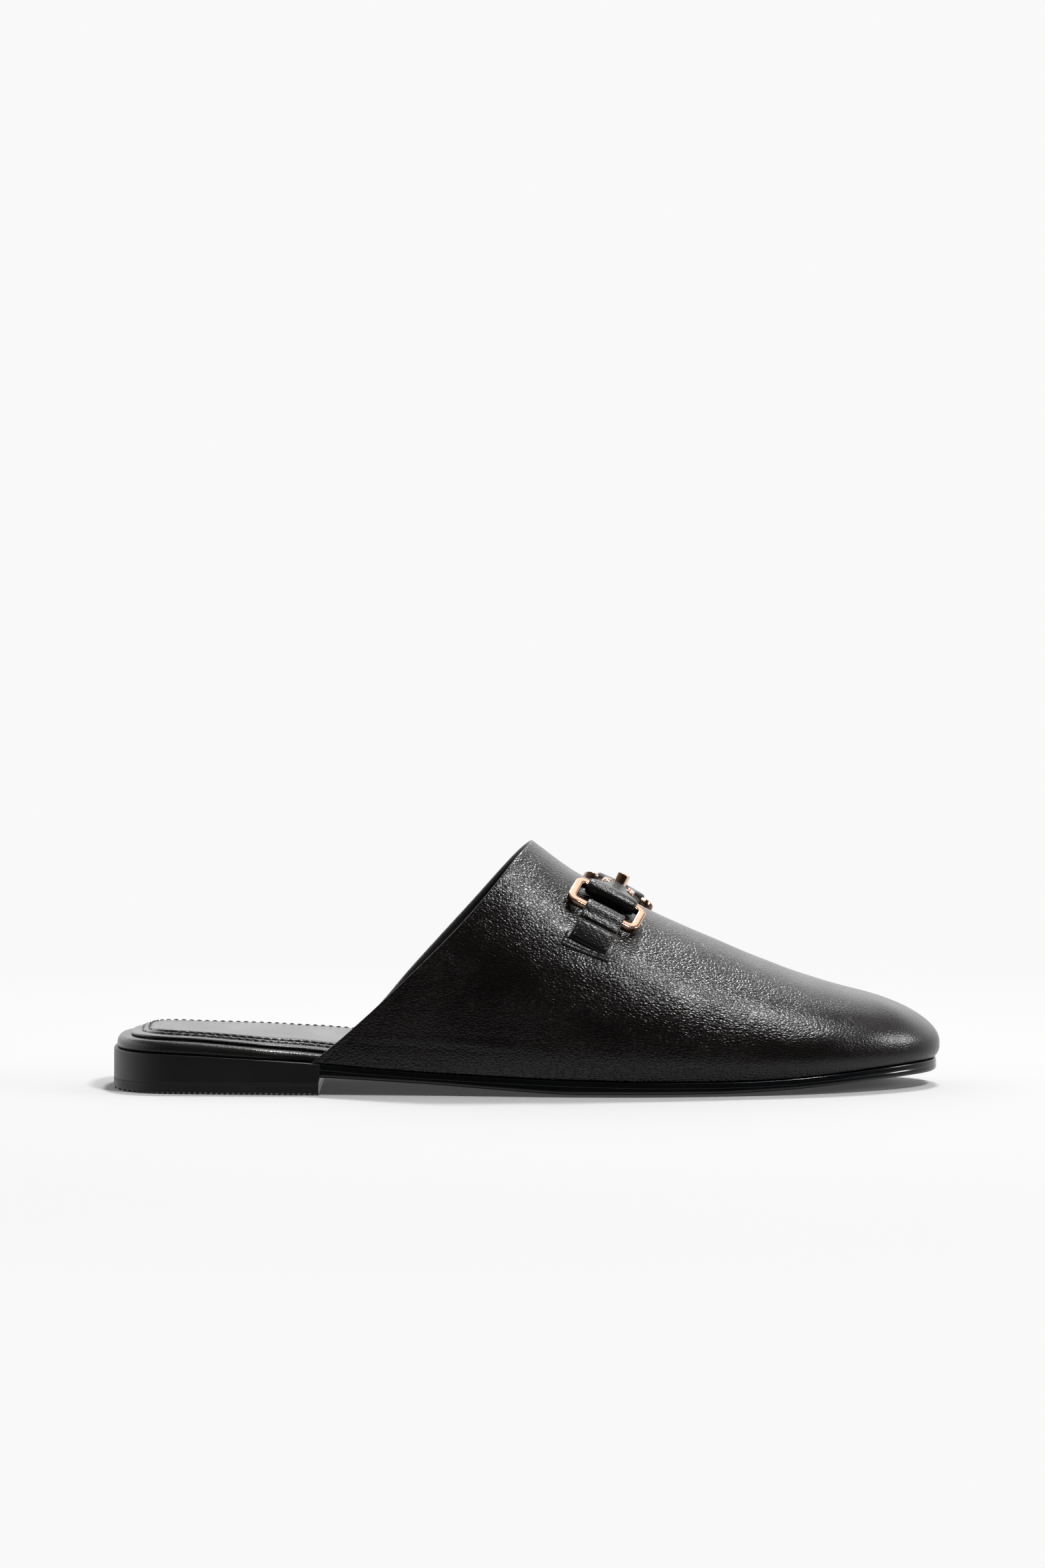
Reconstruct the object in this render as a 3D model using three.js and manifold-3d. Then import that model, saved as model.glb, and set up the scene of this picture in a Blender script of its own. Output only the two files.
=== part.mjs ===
// Backless loafer mule, right foot, standing flat on its heel and forefoot.
// Millimetres. +X runs from heel to toe, +Y to the inner (medial) side, +Z up.
import * as THREE from 'three';
import Module from 'manifold-3d';
import { mergeVertices } from 'three/addons/utils/BufferGeometryUtils.js';

const wasm = await Module();
wasm.setup();

// ---------------------------------------------------------------- sizes (mm)
const SOLE_LENGTH = 261.1;        // sole edge, back of heel to toe tip
const BALL_WIDTH = 80;          // sole edge across the ball
const HEEL_SEAT = 12.8;         // floor to top of sole at the back
const INSTEP_HEIGHT = 78.2;     // floor to the peak of the vamp
const THROAT = 132;             // heel back to that peak
const HEEL_LENGTH = 65.8;       // heel back to heel breast
const LIFT_HEIGHT = 3.4;        // top lift under the heel
const WALL = 1.7;               // upper leather with its lining
const GAP = 0.3;                // play between neighbouring pieces
const FEATHER_INSET = 0.5;      // upper's foot, inside the sole edge
const FOOTBED_THICK = 3.8;
const SOCK_INSET = 4.4;         // sock edge, inside the footbed edge

const TOE_ROUND = { from: 210, power: 2.22 };   // plan of the toe
const HEEL_ROUND = { to: 24, power: 2.6 };      // plan of the heel
const TOE_DOME = { from: 238.5, power: 2.5 };    // side view of the toe

// hardware, laid out in a plane square to the vamp ridge
const BIT_AT = 159.1;           // heel back to the bit, along the ridge
const BIT_SKEW = 4.5;           // degrees that the bit's line runs back towards the outer side
const BIT_OFF = 1.9;            // bit's middle, to the outer side of the ridge
const RING = { length: 24.6, bar: 2.5, thick: 2.1, corner: 3.5, upper: 15.6, lower: 26.0 };
const LINK = { length: 11, bar: 1.6, reach: 4.3, lift: 2.25 };
const BLOCK = { length: 4.6, depth: 3.2, top: 6.9 };
const STRAP = { wide: 16.6, narrow: 6.6, skin: 0.9 };
const TAB = { wide: 12.8, foot: 39.2, skin: 0.95, shift: 0.8 };

// ------------------------------------------------------- tables, one row a section
// plan of the sole edge: at (mm from heel back), centre (Y), half width as a share of half the ball width
const PLAN = [
  { at: 0, centre: 1.2, half: 0.708 },
  { at: 24, centre: 0.2, half: 0.722 },
  { at: 45, centre: -0.7, half: 0.750 },
  { at: 66, centre: -1.8, half: 0.760 },
  { at: 88, centre: -2.7, half: 0.768 },
  { at: 108, centre: -2.8, half: 0.806 },
  { at: 128, centre: -2.1, half: 0.880 },
  { at: 148, centre: -0.8, half: 0.955 },
  { at: 166, centre: 0.5, half: 0.996 },
  { at: 184, centre: 2.0, half: 0.996 },
  { at: 202, centre: 3.4, half: 0.957 },
  { at: 220, centre: 4.8, half: 0.896 },
  { at: 240, centre: 6.3, half: 0.810 },
  { at: 261, centre: 7.6, half: 0.725 },
];

// side view of the sole: seam (top edge), under (walking face)
const PROFILE = [
  { at: 0, seam: 1.0 * HEEL_SEAT, under: 6.2 },
  { at: 20, seam: 0.957 * HEEL_SEAT, under: 6.1 },
  { at: 40, seam: 0.883 * HEEL_SEAT, under: 5.9 },
  { at: 66, seam: 0.758 * HEEL_SEAT, under: 4.75 },
  { at: 80, seam: 0.660 * HEEL_SEAT, under: 4.0 },
  { at: 100, seam: 0.553 * HEEL_SEAT, under: 2.85 },
  { at: 124, seam: 0.457 * HEEL_SEAT, under: 1.15},
  { at: 146, seam: 0.394 * HEEL_SEAT, under: 0 },
  { at: 168, seam: 0.358 * HEEL_SEAT, under: 0 },
  { at: 188, seam: 0.348 * HEEL_SEAT, under: 0 },
  { at: 201, seam: 0.359 * HEEL_SEAT, under: 0.35 },
  { at: 213, seam: 0.398 * HEEL_SEAT, under: 0.95 },
  { at: 226, seam: 0.469 * HEEL_SEAT, under: 1.85},
  { at: 240, seam: 0.559 * HEEL_SEAT, under: 2.95 },
  { at: 252, seam: 0.625 * HEEL_SEAT, under: 3.65},
  { at: 261, seam: 0.656 * HEEL_SEAT, under: 3.95},
];

// sections of the last: ridge (height, as a share of the instep height), ridgeY, bulge past the
// sole edge, beam (height of the widest line over the seam), full (roundness of the section)
const SECTIONS = [
  { at: 56, ridge: 1.29, ridgeY: 0.4, bulge: 0.1, beam: 11, full: 2.1 },
  { at: 84, ridge: 1.245, ridgeY: 0.9, bulge: 0.7, beam: 12, full: 2.08 },
  { at: 108, ridge: 1.155, ridgeY: 1.0, bulge: 1.2, beam: 12, full: 2.04 },
  { at: 122, ridge: 1.072, ridgeY: 1.1, bulge: 1.5, beam: 11.5, full: 2.0 },
  { at: 132, ridge: 1.0, ridgeY: 1.2, bulge: 1.7, beam: 11, full: 1.98 },
  { at: 145.5, ridge: 0.8740, ridgeY: 1.4, bulge: 2.0, beam: 10.5, full: 1.97 },
  { at: 158, ridge: 0.7895, ridgeY: 1.7, bulge: 2.2, beam: 10, full: 1.98 },
  { at: 172, ridge: 0.6965, ridgeY: 2.4, bulge: 2.3, beam: 9.2, full: 2.0 },
  { at: 188, ridge: 0.6045, ridgeY: 3.4, bulge: 2.2, beam: 8.4, full: 2.04 },
  { at: 206, ridge: 0.5060, ridgeY: 4.6, bulge: 2.0, beam: 7.4, full: 2.1 },
  { at: 224, ridge: 0.4225, ridgeY: 5.8, bulge: 1.8, beam: 6.2, full: 2.16 },
  { at: 242, ridge: 0.3580, ridgeY: 6.8, bulge: 1.6, beam: 4.9, full: 2.2 },
  { at: 261, ridge: 0.2900, ridgeY: 7.6, bulge: 1.2, beam: 3.6, full: 2.2 },
];

// the cut of the mouth: at a height (rise), how far from the heel back on each side
const MOUTH = [
  { rise: 4, lateral: 54, medial: 60.5 },
  { rise: 10, lateral: 62.8, medial: 68.3 },
  { rise: 16, lateral: 70.3, medial: 75.2 },
  { rise: 24, lateral: 79.4, medial: 83.4 },
  { rise: 34, lateral: 90.1, medial: 91.9 },
  { rise: 46, lateral: 102.5, medial: 102.8 },
  { rise: 58, lateral: 114.0, medial: 113.7 },
  { rise: 68, lateral: 122.6, medial: 122.5 },
  { rise: 75, lateral: 128.5, medial: 128.8 },
  { rise: 78.3, lateral: 132.2, medial: 132.2 },
];

// the sole's edge, from its top inward corner round to the walking face
const SOLE_EDGE = [
  { out: -0.5, down: 0, up: null },
  { out: 0, down: 0.7, up: null },
  { out: 0.05, down: null, up: 2.3 },
  { out: -0.55, down: null, up: 1.25 },
  { out: -2.4, down: null, up: 0.68 },
  { out: -9, down: null, up: 0 },
];
const LIFT_EDGE = [
  { out: 0.1, z: LIFT_HEIGHT - GAP },
  { out: 0.15, z: 0.5 },
  { out: -0.3, z: 0 },
];
const FOOTBED_EDGE = [
  { out: -2.5, z: 1 }, { out: -0.9, z: 0.88 }, { out: -0.1, z: 0.6 }, { out: 0, z: 0.3 }, { out: -0.4, z: 0 },
];
const SOCK_EDGE = [
  { out: -6.2, z: 1.9 }, { out: -3.6, z: 1.35 }, { out: -0.6, z: 0.75 }, { out: 0, z: 0.45 }, { out: 0, z: 0 },
];

// ------------------------------------------------------------------ interpolation
// natural cubic through a table's column
function curve(rows, key, col) {
  const n = rows.length, x = rows.map(r => r[key]), y = rows.map(r => r[col]);
  const u = new Array(n).fill(0), m = new Array(n).fill(0);
  for (let i = 1; i < n - 1; i++) {
    const s = (x[i] - x[i - 1]) / (x[i + 1] - x[i - 1]), p = s * m[i - 1] + 2;
    m[i] = (s - 1) / p;
    const d = (y[i + 1] - y[i]) / (x[i + 1] - x[i]) - (y[i] - y[i - 1]) / (x[i] - x[i - 1]);
    u[i] = (6 * d / (x[i + 1] - x[i - 1]) - s * u[i - 1]) / p;
  }
  for (let i = n - 2; i >= 0; i--) m[i] = m[i] * m[i + 1] + u[i];
  return t => {
    if (t <= x[0]) return y[0] + (t - x[0]) * ((y[1] - y[0]) / (x[1] - x[0]) - (x[1] - x[0]) * m[1] / 6);
    let i = 0;
    while (i < n - 2 && t > x[i + 1]) i++;
    const h = x[i + 1] - x[i], a = (x[i + 1] - t) / h, b = (t - x[i]) / h;
    if (t > x[n - 1]) return y[n - 1];
    return a * y[i] + b * y[i + 1] + ((a ** 3 - a) * m[i] + (b ** 3 - b) * m[i + 1]) * h * h / 6;
  };
}
// monotone cubic, which keeps a flat run flat
function steady(rows, key, col) {
  const n = rows.length, x = rows.map(r => r[key]), y = rows.map(r => r[col]);
  const d = [], t = new Array(n).fill(0);
  for (let i = 0; i < n - 1; i++) d.push((y[i + 1] - y[i]) / (x[i + 1] - x[i]));
  t[0] = d[0]; t[n - 1] = d[n - 2];
  for (let i = 1; i < n - 1; i++) {
    if (d[i - 1] * d[i] <= 0) { t[i] = 0; continue; }
    const w1 = 2 * (x[i + 1] - x[i]) + (x[i] - x[i - 1]), w2 = (x[i + 1] - x[i]) + 2 * (x[i] - x[i - 1]);
    t[i] = (w1 + w2) / (w1 / d[i - 1] + w2 / d[i]);
  }
  return v => {
    v = Math.min(Math.max(v, x[0]), x[n - 1]);
    let i = 0;
    while (i < n - 2 && v > x[i + 1]) i++;
    const h = x[i + 1] - x[i], s = (v - x[i]) / h, s2 = s * s, s3 = s2 * s;
    return (2 * s3 - 3 * s2 + 1) * y[i] + (s3 - 2 * s2 + s) * h * t[i] + (3 * s2 - 2 * s3) * y[i + 1] + (s3 - s2) * h * t[i + 1];
  };
}
const clamp = (v, lo, hi) => Math.min(Math.max(v, lo), hi);
const lerp = (a, b, t) => a + (b - a) * t;
const quarter = (t, power) => Math.max(0, 1 - clamp(t, 0, 1) ** power) ** (1 / power);

const centre = curve(PLAN, 'at', 'centre');
const halfShare = curve(PLAN, 'at', 'half');
const seam = steady(PROFILE, 'at', 'seam');
const under = steady(PROFILE, 'at', 'under');
const ridgeShare = curve(SECTIONS, 'at', 'ridge');
const ridgeY = curve(SECTIONS, 'at', 'ridgeY');
const bulge = curve(SECTIONS, 'at', 'bulge');
const beam = curve(SECTIONS, 'at', 'beam');
const full = curve(SECTIONS, 'at', 'full');
const mouth = { '-1': steady(MOUTH, 'rise', 'lateral'), '1': steady(MOUTH, 'rise', 'medial') };

// ---------------------------------------------------------------- plan of the sole
function half(s) {
  return halfShare(s) * BALL_WIDTH / 2
    * quarter(1 - s / HEEL_ROUND.to, HEEL_ROUND.power)
    * quarter((s - TOE_ROUND.from) / (SOLE_LENGTH - TOE_ROUND.from), TOE_ROUND.power);
}
const stationAt = t => SOLE_LENGTH * (1 - Math.cos(Math.PI * t)) / 2;
const rawEdge = (side, t) => { const s = stationAt(t); return [s, centre(s) + side * half(s)]; };
// a point of the sole edge at station s, moved outward by `out` square to the edge
function edge(side, s, out) {
  const t = Math.acos(clamp(1 - 2 * s / SOLE_LENGTH, -1, 1)) / Math.PI, e = 1e-4;
  if (t < 1e-6) return [-out, centre(0)];
  if (t > 1 - 1e-6) return [SOLE_LENGTH + out, centre(SOLE_LENGTH)];
  const a = rawEdge(side, Math.max(0, t - e)), b = rawEdge(side, Math.min(1, t + e)), p = rawEdge(side, t);
  const dx = b[0] - a[0], dy = b[1] - a[1], l = Math.hypot(dx, dy);
  return [p[0] - side * dy / l * out, p[1] + side * dx / l * out];
}

// ------------------------------------------------------------- form of the last
const FOOT = 0.12;              // share of a section's girth below its widest line
const heightAt = (s, lift) => {
  const z = seam(s) + GAP + beam(s);
  return z + (ridgeShare(s) * INSTEP_HEIGHT + lift - z)
    * quarter((s - TOE_DOME.from) / (SOLE_LENGTH - TOE_DOME.from), TOE_DOME.power);
};
// a point of the upper: s is the station, v runs 0 (lateral seam) over the ridge to 1 (medial seam)
function last(s, v, lift = 0) {
  const side = v < 0.5 ? -1 : 1, w = v < 0.5 ? v : 1 - v;
  const wide = edge(side, s, bulge(s) + lift), zWide = seam(s) + GAP + beam(s);
  if (w < FOOT) {
    const q = w / FOOT, k = 1 - (1 - q) ** 2, foot = edge(side, s, lift - FEATHER_INSET);
    const z0 = seam(clamp(foot[0], 0, SOLE_LENGTH)) + GAP;
    return [lerp(foot[0], wide[0], k), lerp(foot[1], wide[1], k), lerp(z0, zWide, q)];
  }
  const other = edge(-side, s, bulge(s) + lift), n = full(s);
  const a = (w - FOOT) / (0.5 - FOOT) * Math.PI / 2;
  const c = Math.max(0, Math.cos(a)) ** (2 / n), h = Math.sin(a) ** (2 / n);
  const x = (wide[0] + other[0]) / 2;
  return [lerp(x, wide[0], c), lerp(ridgeY(s), wide[1], c), lerp(zWide, heightAt(s, lift), h)];
}
// station where the mouth cuts the girth line v
function mouthAt(v, lift) {
  const cut = mouth[v < 0.5 ? -1 : 1];
  let lo = 50, hi = 134;
  for (let i = 0; i < 50; i++) {
    const mid = (lo + hi) / 2, p = last(mid, v, lift);
    if (mid < cut(p[2] - lift * 0.7)) lo = mid; else hi = mid;
  }
  return (lo + hi) / 2;
}

// ------------------------------------------------------------- mesh helpers
function geometry(points, faces) {
  const g = new THREE.BufferGeometry();
  g.setAttribute('position', new THREE.Float32BufferAttribute(points.flat(), 3));
  g.setIndex(faces.flat());
  const m = mergeVertices(g, 1e-4), idx = m.index.array, keep = [];
  for (let i = 0; i < idx.length; i += 3)
    if (idx[i] !== idx[i + 1] && idx[i + 1] !== idx[i + 2] && idx[i] !== idx[i + 2]) keep.push(idx[i], idx[i + 1], idx[i + 2]);
  m.setIndex(keep);
  const p = m.attributes.position;
  let vol = 0;
  const a = new THREE.Vector3(), b = new THREE.Vector3(), c = new THREE.Vector3();
  for (let i = 0; i < keep.length; i += 3) {
    a.fromBufferAttribute(p, keep[i]); b.fromBufferAttribute(p, keep[i + 1]); c.fromBufferAttribute(p, keep[i + 2]);
    vol += a.dot(b.cross(c));
  }
  if (vol < 0) for (let i = 0; i < keep.length; i += 3) [keep[i], keep[i + 1]] = [keep[i + 1], keep[i]];
  m.setIndex(keep);
  m.computeVertexNormals();
  return m;
}
function solid(g) {
  const c = g.clone();
  c.deleteAttribute('normal'); c.deleteAttribute('uv');
  const m = mergeVertices(c, 1e-4);
  return new wasm.Manifold(new wasm.Mesh({
    numProp: 3, vertProperties: new Float32Array(m.attributes.position.array), triVerts: new Uint32Array(m.index.array),
  }));
}
function fromSolid(m) {
  const mesh = m.getMesh(), g = new THREE.BufferGeometry();
  g.setAttribute('position', new THREE.BufferAttribute(new Float32Array(mesh.vertProperties), 3));
  g.setIndex(new THREE.BufferAttribute(new Uint32Array(mesh.triVerts), 1));
  g.computeVertexNormals();
  return g;
}
// a plate between two stations: `ring(side, s)` gives the points of its edge from top to bottom
function plate(stations, ring) {
  const points = [], faces = [], n = ring(-1, stations[0]).length;
  for (const s of stations) points.push(...ring(-1, s), ...ring(1, s).reverse());
  const m = 2 * n, quad = (a, b, c, d) => faces.push([a, b, c], [a, c, d]);
  for (let j = 0; j < stations.length - 1; j++)
    for (let i = 0; i < m; i++) quad(j * m + i, (j + 1) * m + i, (j + 1) * m + (i + 1) % m, j * m + (i + 1) % m);
  const cap = j => { for (let i = 0; i < n - 1; i++) quad(j * m + i, j * m + i + 1, j * m + m - 2 - i, j * m + m - 1 - i); };
  cap(0);
  const before = faces.length;
  cap(stations.length - 1);
  for (let i = before; i < faces.length; i++) faces[i].reverse();
  return geometry(points, faces);
}
// stations with the spacing drawn in towards a rounded end
function spread(from, to, count, roundFrom, roundTo) {
  const out = [];
  for (let i = 0; i <= count; i++) {
    const t = i / count;
    const f = roundFrom && roundTo ? (1 - Math.cos(Math.PI * t)) / 2 : roundTo ? Math.sin(Math.PI * t / 2) : roundFrom ? 1 - Math.cos(Math.PI * t / 2) : t;
    out.push(lerp(from, to, f));
  }
  return out;
}

// ------------------------------------------------------------------ sole pieces
const BREAST_SLOPE = 0.4;
function soleUnit() {
  const heel = spread(0, HEEL_LENGTH, 16, true, false);
  const fore = spread(HEEL_LENGTH + BREAST_SLOPE, SOLE_LENGTH, 34, false, true);
  return plate([...heel, ...fore], (side, s) => {
    const inHeel = s <= HEEL_LENGTH + 1e-6;
    return SOLE_EDGE.map((r, i) => {
      let out = r.out;
      if (inHeel && i > 1) out = 0.02 * i;
      const p = edge(side, s, out);
      const z = r.down !== null ? seam(p[0]) - r.down
        : inHeel ? LIFT_HEIGHT + (SOLE_EDGE.length - 1 - i) * 1.3 : under(p[0]) + r.up;
      return [p[0], p[1], z];
    });
  });
}
function heelLift() {
  return plate(spread(0, HEEL_LENGTH, 16, true, false), (side, s) =>
    LIFT_EDGE.map(r => { const p = edge(side, s, r.out); return [p[0], p[1], r.z]; }));
}
// the footbed narrows where the upper comes down outside it
const INSET = [{ at: 0, in: 1.0 }, { at: 44, in: 1.0 }, { at: 60, in: 2.75 }, { at: 261, in: 2.75 }];
const inset = steady(INSET, 'at', 'in');
// how far the footbed's top stands up on the inner side, and down on the outer, towards the arch
const TWIST = [{ at: 0, tilt: 0 }, { at: 24, tilt: 0.1 }, { at: 40, tilt: 0.5 }, { at: 58, tilt: 1.1 }, { at: 74, tilt: 1.4 }, { at: 100, tilt: 1.25 }, { at: 135, tilt: 0.7 }, { at: 175, tilt: 0.2 }, { at: 215, tilt: 0 }, { at: 261, tilt: 0 }];
const twist = steady(TWIST, 'at', 'tilt');
const bedTop = (s, y) => seam(s) + GAP + FOOTBED_THICK + twist(s) * (y - centre(s)) / 26;
function footbed() {
  return plate(spread(0, SOLE_LENGTH, 46, true, true), (side, s) => {
    const deep = inset(s);
    return FOOTBED_EDGE.map(r => {
      const p = edge(side, s, r.out - deep);
      return [p[0], p[1], lerp(seam(p[0]) + GAP, bedTop(p[0], p[1]), r.z)];
    });
  });
}
function sockPad() {
  return plate(spread(0, SOLE_LENGTH, 46, true, true), (side, s) => {
    const deep = inset(s) + SOCK_INSET - 0.6 * clamp((s - 60) / 20, 0, 1);
    return SOCK_EDGE.map(r => {
      const p = edge(side, s, r.out - deep);
      return [p[0], p[1], bedTop(p[0], p[1]) + GAP + r.z];
    });
  });
}

// ------------------------------------------------------------------------ upper
const GIRTH_STEPS = 44, LENGTH_STEPS = 26;
function girthLine(j) {         // closer steps near the seams and near the ridge of the mouth
  const t = j / GIRTH_STEPS;
  return t + 0.018 * Math.sin(4 * Math.PI * t);
}
function shell(lift) {
  const rows = [];
  for (let j = 0; j <= GIRTH_STEPS; j++) {
    const v = clamp(girthLine(j), 0, 1), from = mouthAt(v, lift), row = [];
    for (let i = 0; i <= LENGTH_STEPS; i++) {
      const t = i / LENGTH_STEPS, f = 0.35 * t + 0.65 * Math.sin(Math.PI * t / 2);
      row.push(last(lerp(from, SOLE_LENGTH, f), v, lift));
    }
    rows.push(row);
  }
  return rows;
}
function upper() {
  const outer = shell(0), inner = shell(-WALL);
  for (let j = 0; j <= GIRTH_STEPS; j++) for (let i = 0; i <= LENGTH_STEPS; i++)
    if (j === 0 || j === GIRTH_STEPS) inner[j][i][2] = seam(clamp(inner[j][i][0], 0, SOLE_LENGTH)) + GAP;
  const points = [...outer.flat(), ...inner.flat()], n = LENGTH_STEPS + 1, off = outer.length * n, faces = [];
  const quad = (a, b, c, d) => faces.push([a, b, c], [a, c, d]);
  for (let j = 0; j < GIRTH_STEPS; j++) for (let i = 0; i < LENGTH_STEPS; i++) {
    const a = j * n + i;
    quad(a, a + 1, a + n + 1, a + n);
    quad(off + a, off + a + n, off + a + n + 1, off + a + 1);
  }
  for (let j = 0; j < GIRTH_STEPS; j++) quad(j * n, (j + 1) * n, off + (j + 1) * n, off + j * n);
  const top = GIRTH_STEPS * n;
  for (let i = 0; i < LENGTH_STEPS; i++) {
    quad(i + 1, i, off + i, off + i + 1);
    quad(top + i, top + i + 1, off + top + i + 1, off + top + i);
  }
  return geometry(points, faces);
}

// ---------------------------------------------------------------------- hardware
// The bit lies in a plane square to the ridge. Local axes: X down the ridge, Y across, Z out of it.
const ridgePoint = s => last(s, 0.5);
const R0 = ridgePoint(BIT_AT), Ra = ridgePoint(BIT_AT - 8), Rb = ridgePoint(BIT_AT + 8);
const SLOPE = Math.atan2(Ra[2] - Rb[2], Rb[0] - Ra[0]);
const SKEW = BIT_SKEW * Math.PI / 180;
const down = p => (p[0] - R0[0]) * Math.cos(SLOPE) - (p[2] - R0[2]) * Math.sin(SLOPE);
const along = p => down(p) * Math.cos(SKEW) - (p[1] - R0[1]) * Math.sin(SKEW);
const across = p => down(p) * Math.sin(SKEW) + (p[1] - R0[1]) * Math.cos(SKEW);
const above = p => (p[0] - R0[0]) * Math.sin(SLOPE) + (p[2] - R0[2]) * Math.cos(SLOPE);
// the vamp's section in a plane parallel to that one, `shift` mm further down the ridge
function arch(side, shift = 0) {
  const out = [];
  for (let k = 0; k <= 60; k++) {
    const v = side < 0 ? 0.5 - k / 60 * 0.4 : 0.5 + k / 60 * 0.4;
    let lo = BIT_AT - 30, hi = BIT_AT + 40;
    for (let i = 0; i < 40; i++) { const mid = (lo + hi) / 2; if (along(last(mid, v)) < shift) lo = mid; else hi = mid; }
    const p = last((lo + hi) / 2, v);
    out.push([across(p), above(p)]);
  }
  return out;
}
// a point at a given girth from the bit's middle and a given height off the leather, with its turn
function onArch(path, girth, height) {
  girth -= Math.sign(path[path.length - 1][0]) * BIT_OFF;
  let run = 0;
  for (let i = 1; i < path.length; i++) {
    const dy = path[i][0] - path[i - 1][0], dz = path[i][1] - path[i - 1][1], l = Math.hypot(dy, dz);
    if (run + l >= girth || i === path.length - 1) {
      const t = (girth - run) / l, side = Math.sign(path[path.length - 1][0]);
      const ny = -dz / l * side, nz = dy / l * side;
      return { y: path[i - 1][0] + dy * t + ny * height, z: path[i - 1][1] + dz * t + nz * height, ny, nz };
    }
    run += l;
  }
}
// a rounded box outline, w by h, turned so that its w axis follows the leather
function roundBox(at, w, h, r, steps = 3) {
  const out = [];
  for (const [sx, sy, a0] of [[1, 1, 0], [-1, 1, 90], [-1, -1, 180], [1, -1, 270]])
    for (let k = 0; k <= steps; k++) {
      const a = (a0 + 90 * k / steps) * Math.PI / 180;
      out.push([sx * (w / 2 - r) + r * Math.cos(a), sy * (h / 2 - r) + r * Math.sin(a)]);
    }
  return out.map(([u, v]) => new THREE.Vector2(at.y + u * at.nz + v * at.ny, at.z - u * at.ny + v * at.nz));
}
// an outline in the local Y-Z plane, made `wide` along local X
function slab(outline, wide, bevel = 0) {
  const shape = new THREE.Shape(outline);
  const g = new THREE.ExtrudeGeometry(shape, bevel
    ? { depth: wide - 2 * bevel, steps: 1, bevelEnabled: true, bevelSize: bevel, bevelThickness: bevel, bevelOffset: -bevel, bevelSegments: 1, curveSegments: 4 }
    : { depth: wide, steps: 1, bevelEnabled: false });
  g.translate(0, 0, bevel ? -(wide - 2 * bevel) / 2 : -wide / 2);
  // shape axes (x, y) become local (Y, Z); depth becomes local X
  g.applyMatrix4(new THREE.Matrix4().set(0, 0, 1, 0, 1, 0, 0, 0, 0, 1, 0, 0, 0, 0, 0, 1));
  return g;
}
// strip of leather lying on the vamp between two girths, `low` to `high` off it
function strip(path, from, to, low, high, steps = 10) {
  const out = [];
  for (let i = 0; i <= steps; i++) { const p = onArch(path, lerp(from, to, i / steps), low(i / steps)); out.push(new THREE.Vector2(p.y, p.z)); }
  for (let i = steps; i >= 0; i--) { const p = onArch(path, lerp(from, to, i / steps), high(i / steps)); out.push(new THREE.Vector2(p.y, p.z)); }
  return out;
}
const wedge = (pairs, low, high) => {           // plan outline (local X, Y) as a tall prism
  const g = new THREE.ExtrudeGeometry(new THREE.Shape(pairs.map(([x, y]) => new THREE.Vector2(x, y))), { depth: high - low, bevelEnabled: false });
  g.translate(0, 0, low);
  return g;
};

// the vamp as a filled form, GAP proud of the leather, in the bit's own axes
function vampForm(lift) {
  const m = 36, n = 22, points = [], faces = [];
  for (let j = 0; j <= m; j++) for (let i = 0; i <= n; i++) {
    const p = last(lerp(133, 195, i / n), lerp(0.1, 0.9, j / m), lift);
    points.push([along(p), across(p), above(p)]);
  }
  const base = points.length;
  for (let j = 0; j <= m; j++) for (let i = 0; i <= n; i++) {
    const p = last(lerp(133, 195, i / n), 0.5, lift), q = points[j * (n + 1) + i];
    points.push([q[0], q[1] * 0.9, above(p) - 60]);
  }
  const w = n + 1, quad = (a, b, c, d) => faces.push([a, b, c], [a, c, d]);
  for (let j = 0; j < m; j++) for (let i = 0; i < n; i++) {
    const a = j * w + i;
    quad(a, a + 1, a + w + 1, a + w);
    quad(base + a, base + a + w, base + a + w + 1, base + a + 1);
  }
  for (let j = 0; j < m; j++) {
    quad(j * w, (j + 1) * w, base + (j + 1) * w, base + j * w);
    quad((j + 1) * w + n, j * w + n, base + j * w + n, base + (j + 1) * w + n);
  }
  for (let i = 0; i < n; i++) {
    quad(i + 1, i, base + i, base + i + 1);
    quad(m * w + i, m * w + i + 1, base + m * w + i + 1, base + m * w + i);
  }
  return geometry(points, faces);
}
const cutter = solid(vampForm(GAP + 0.05));

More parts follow.
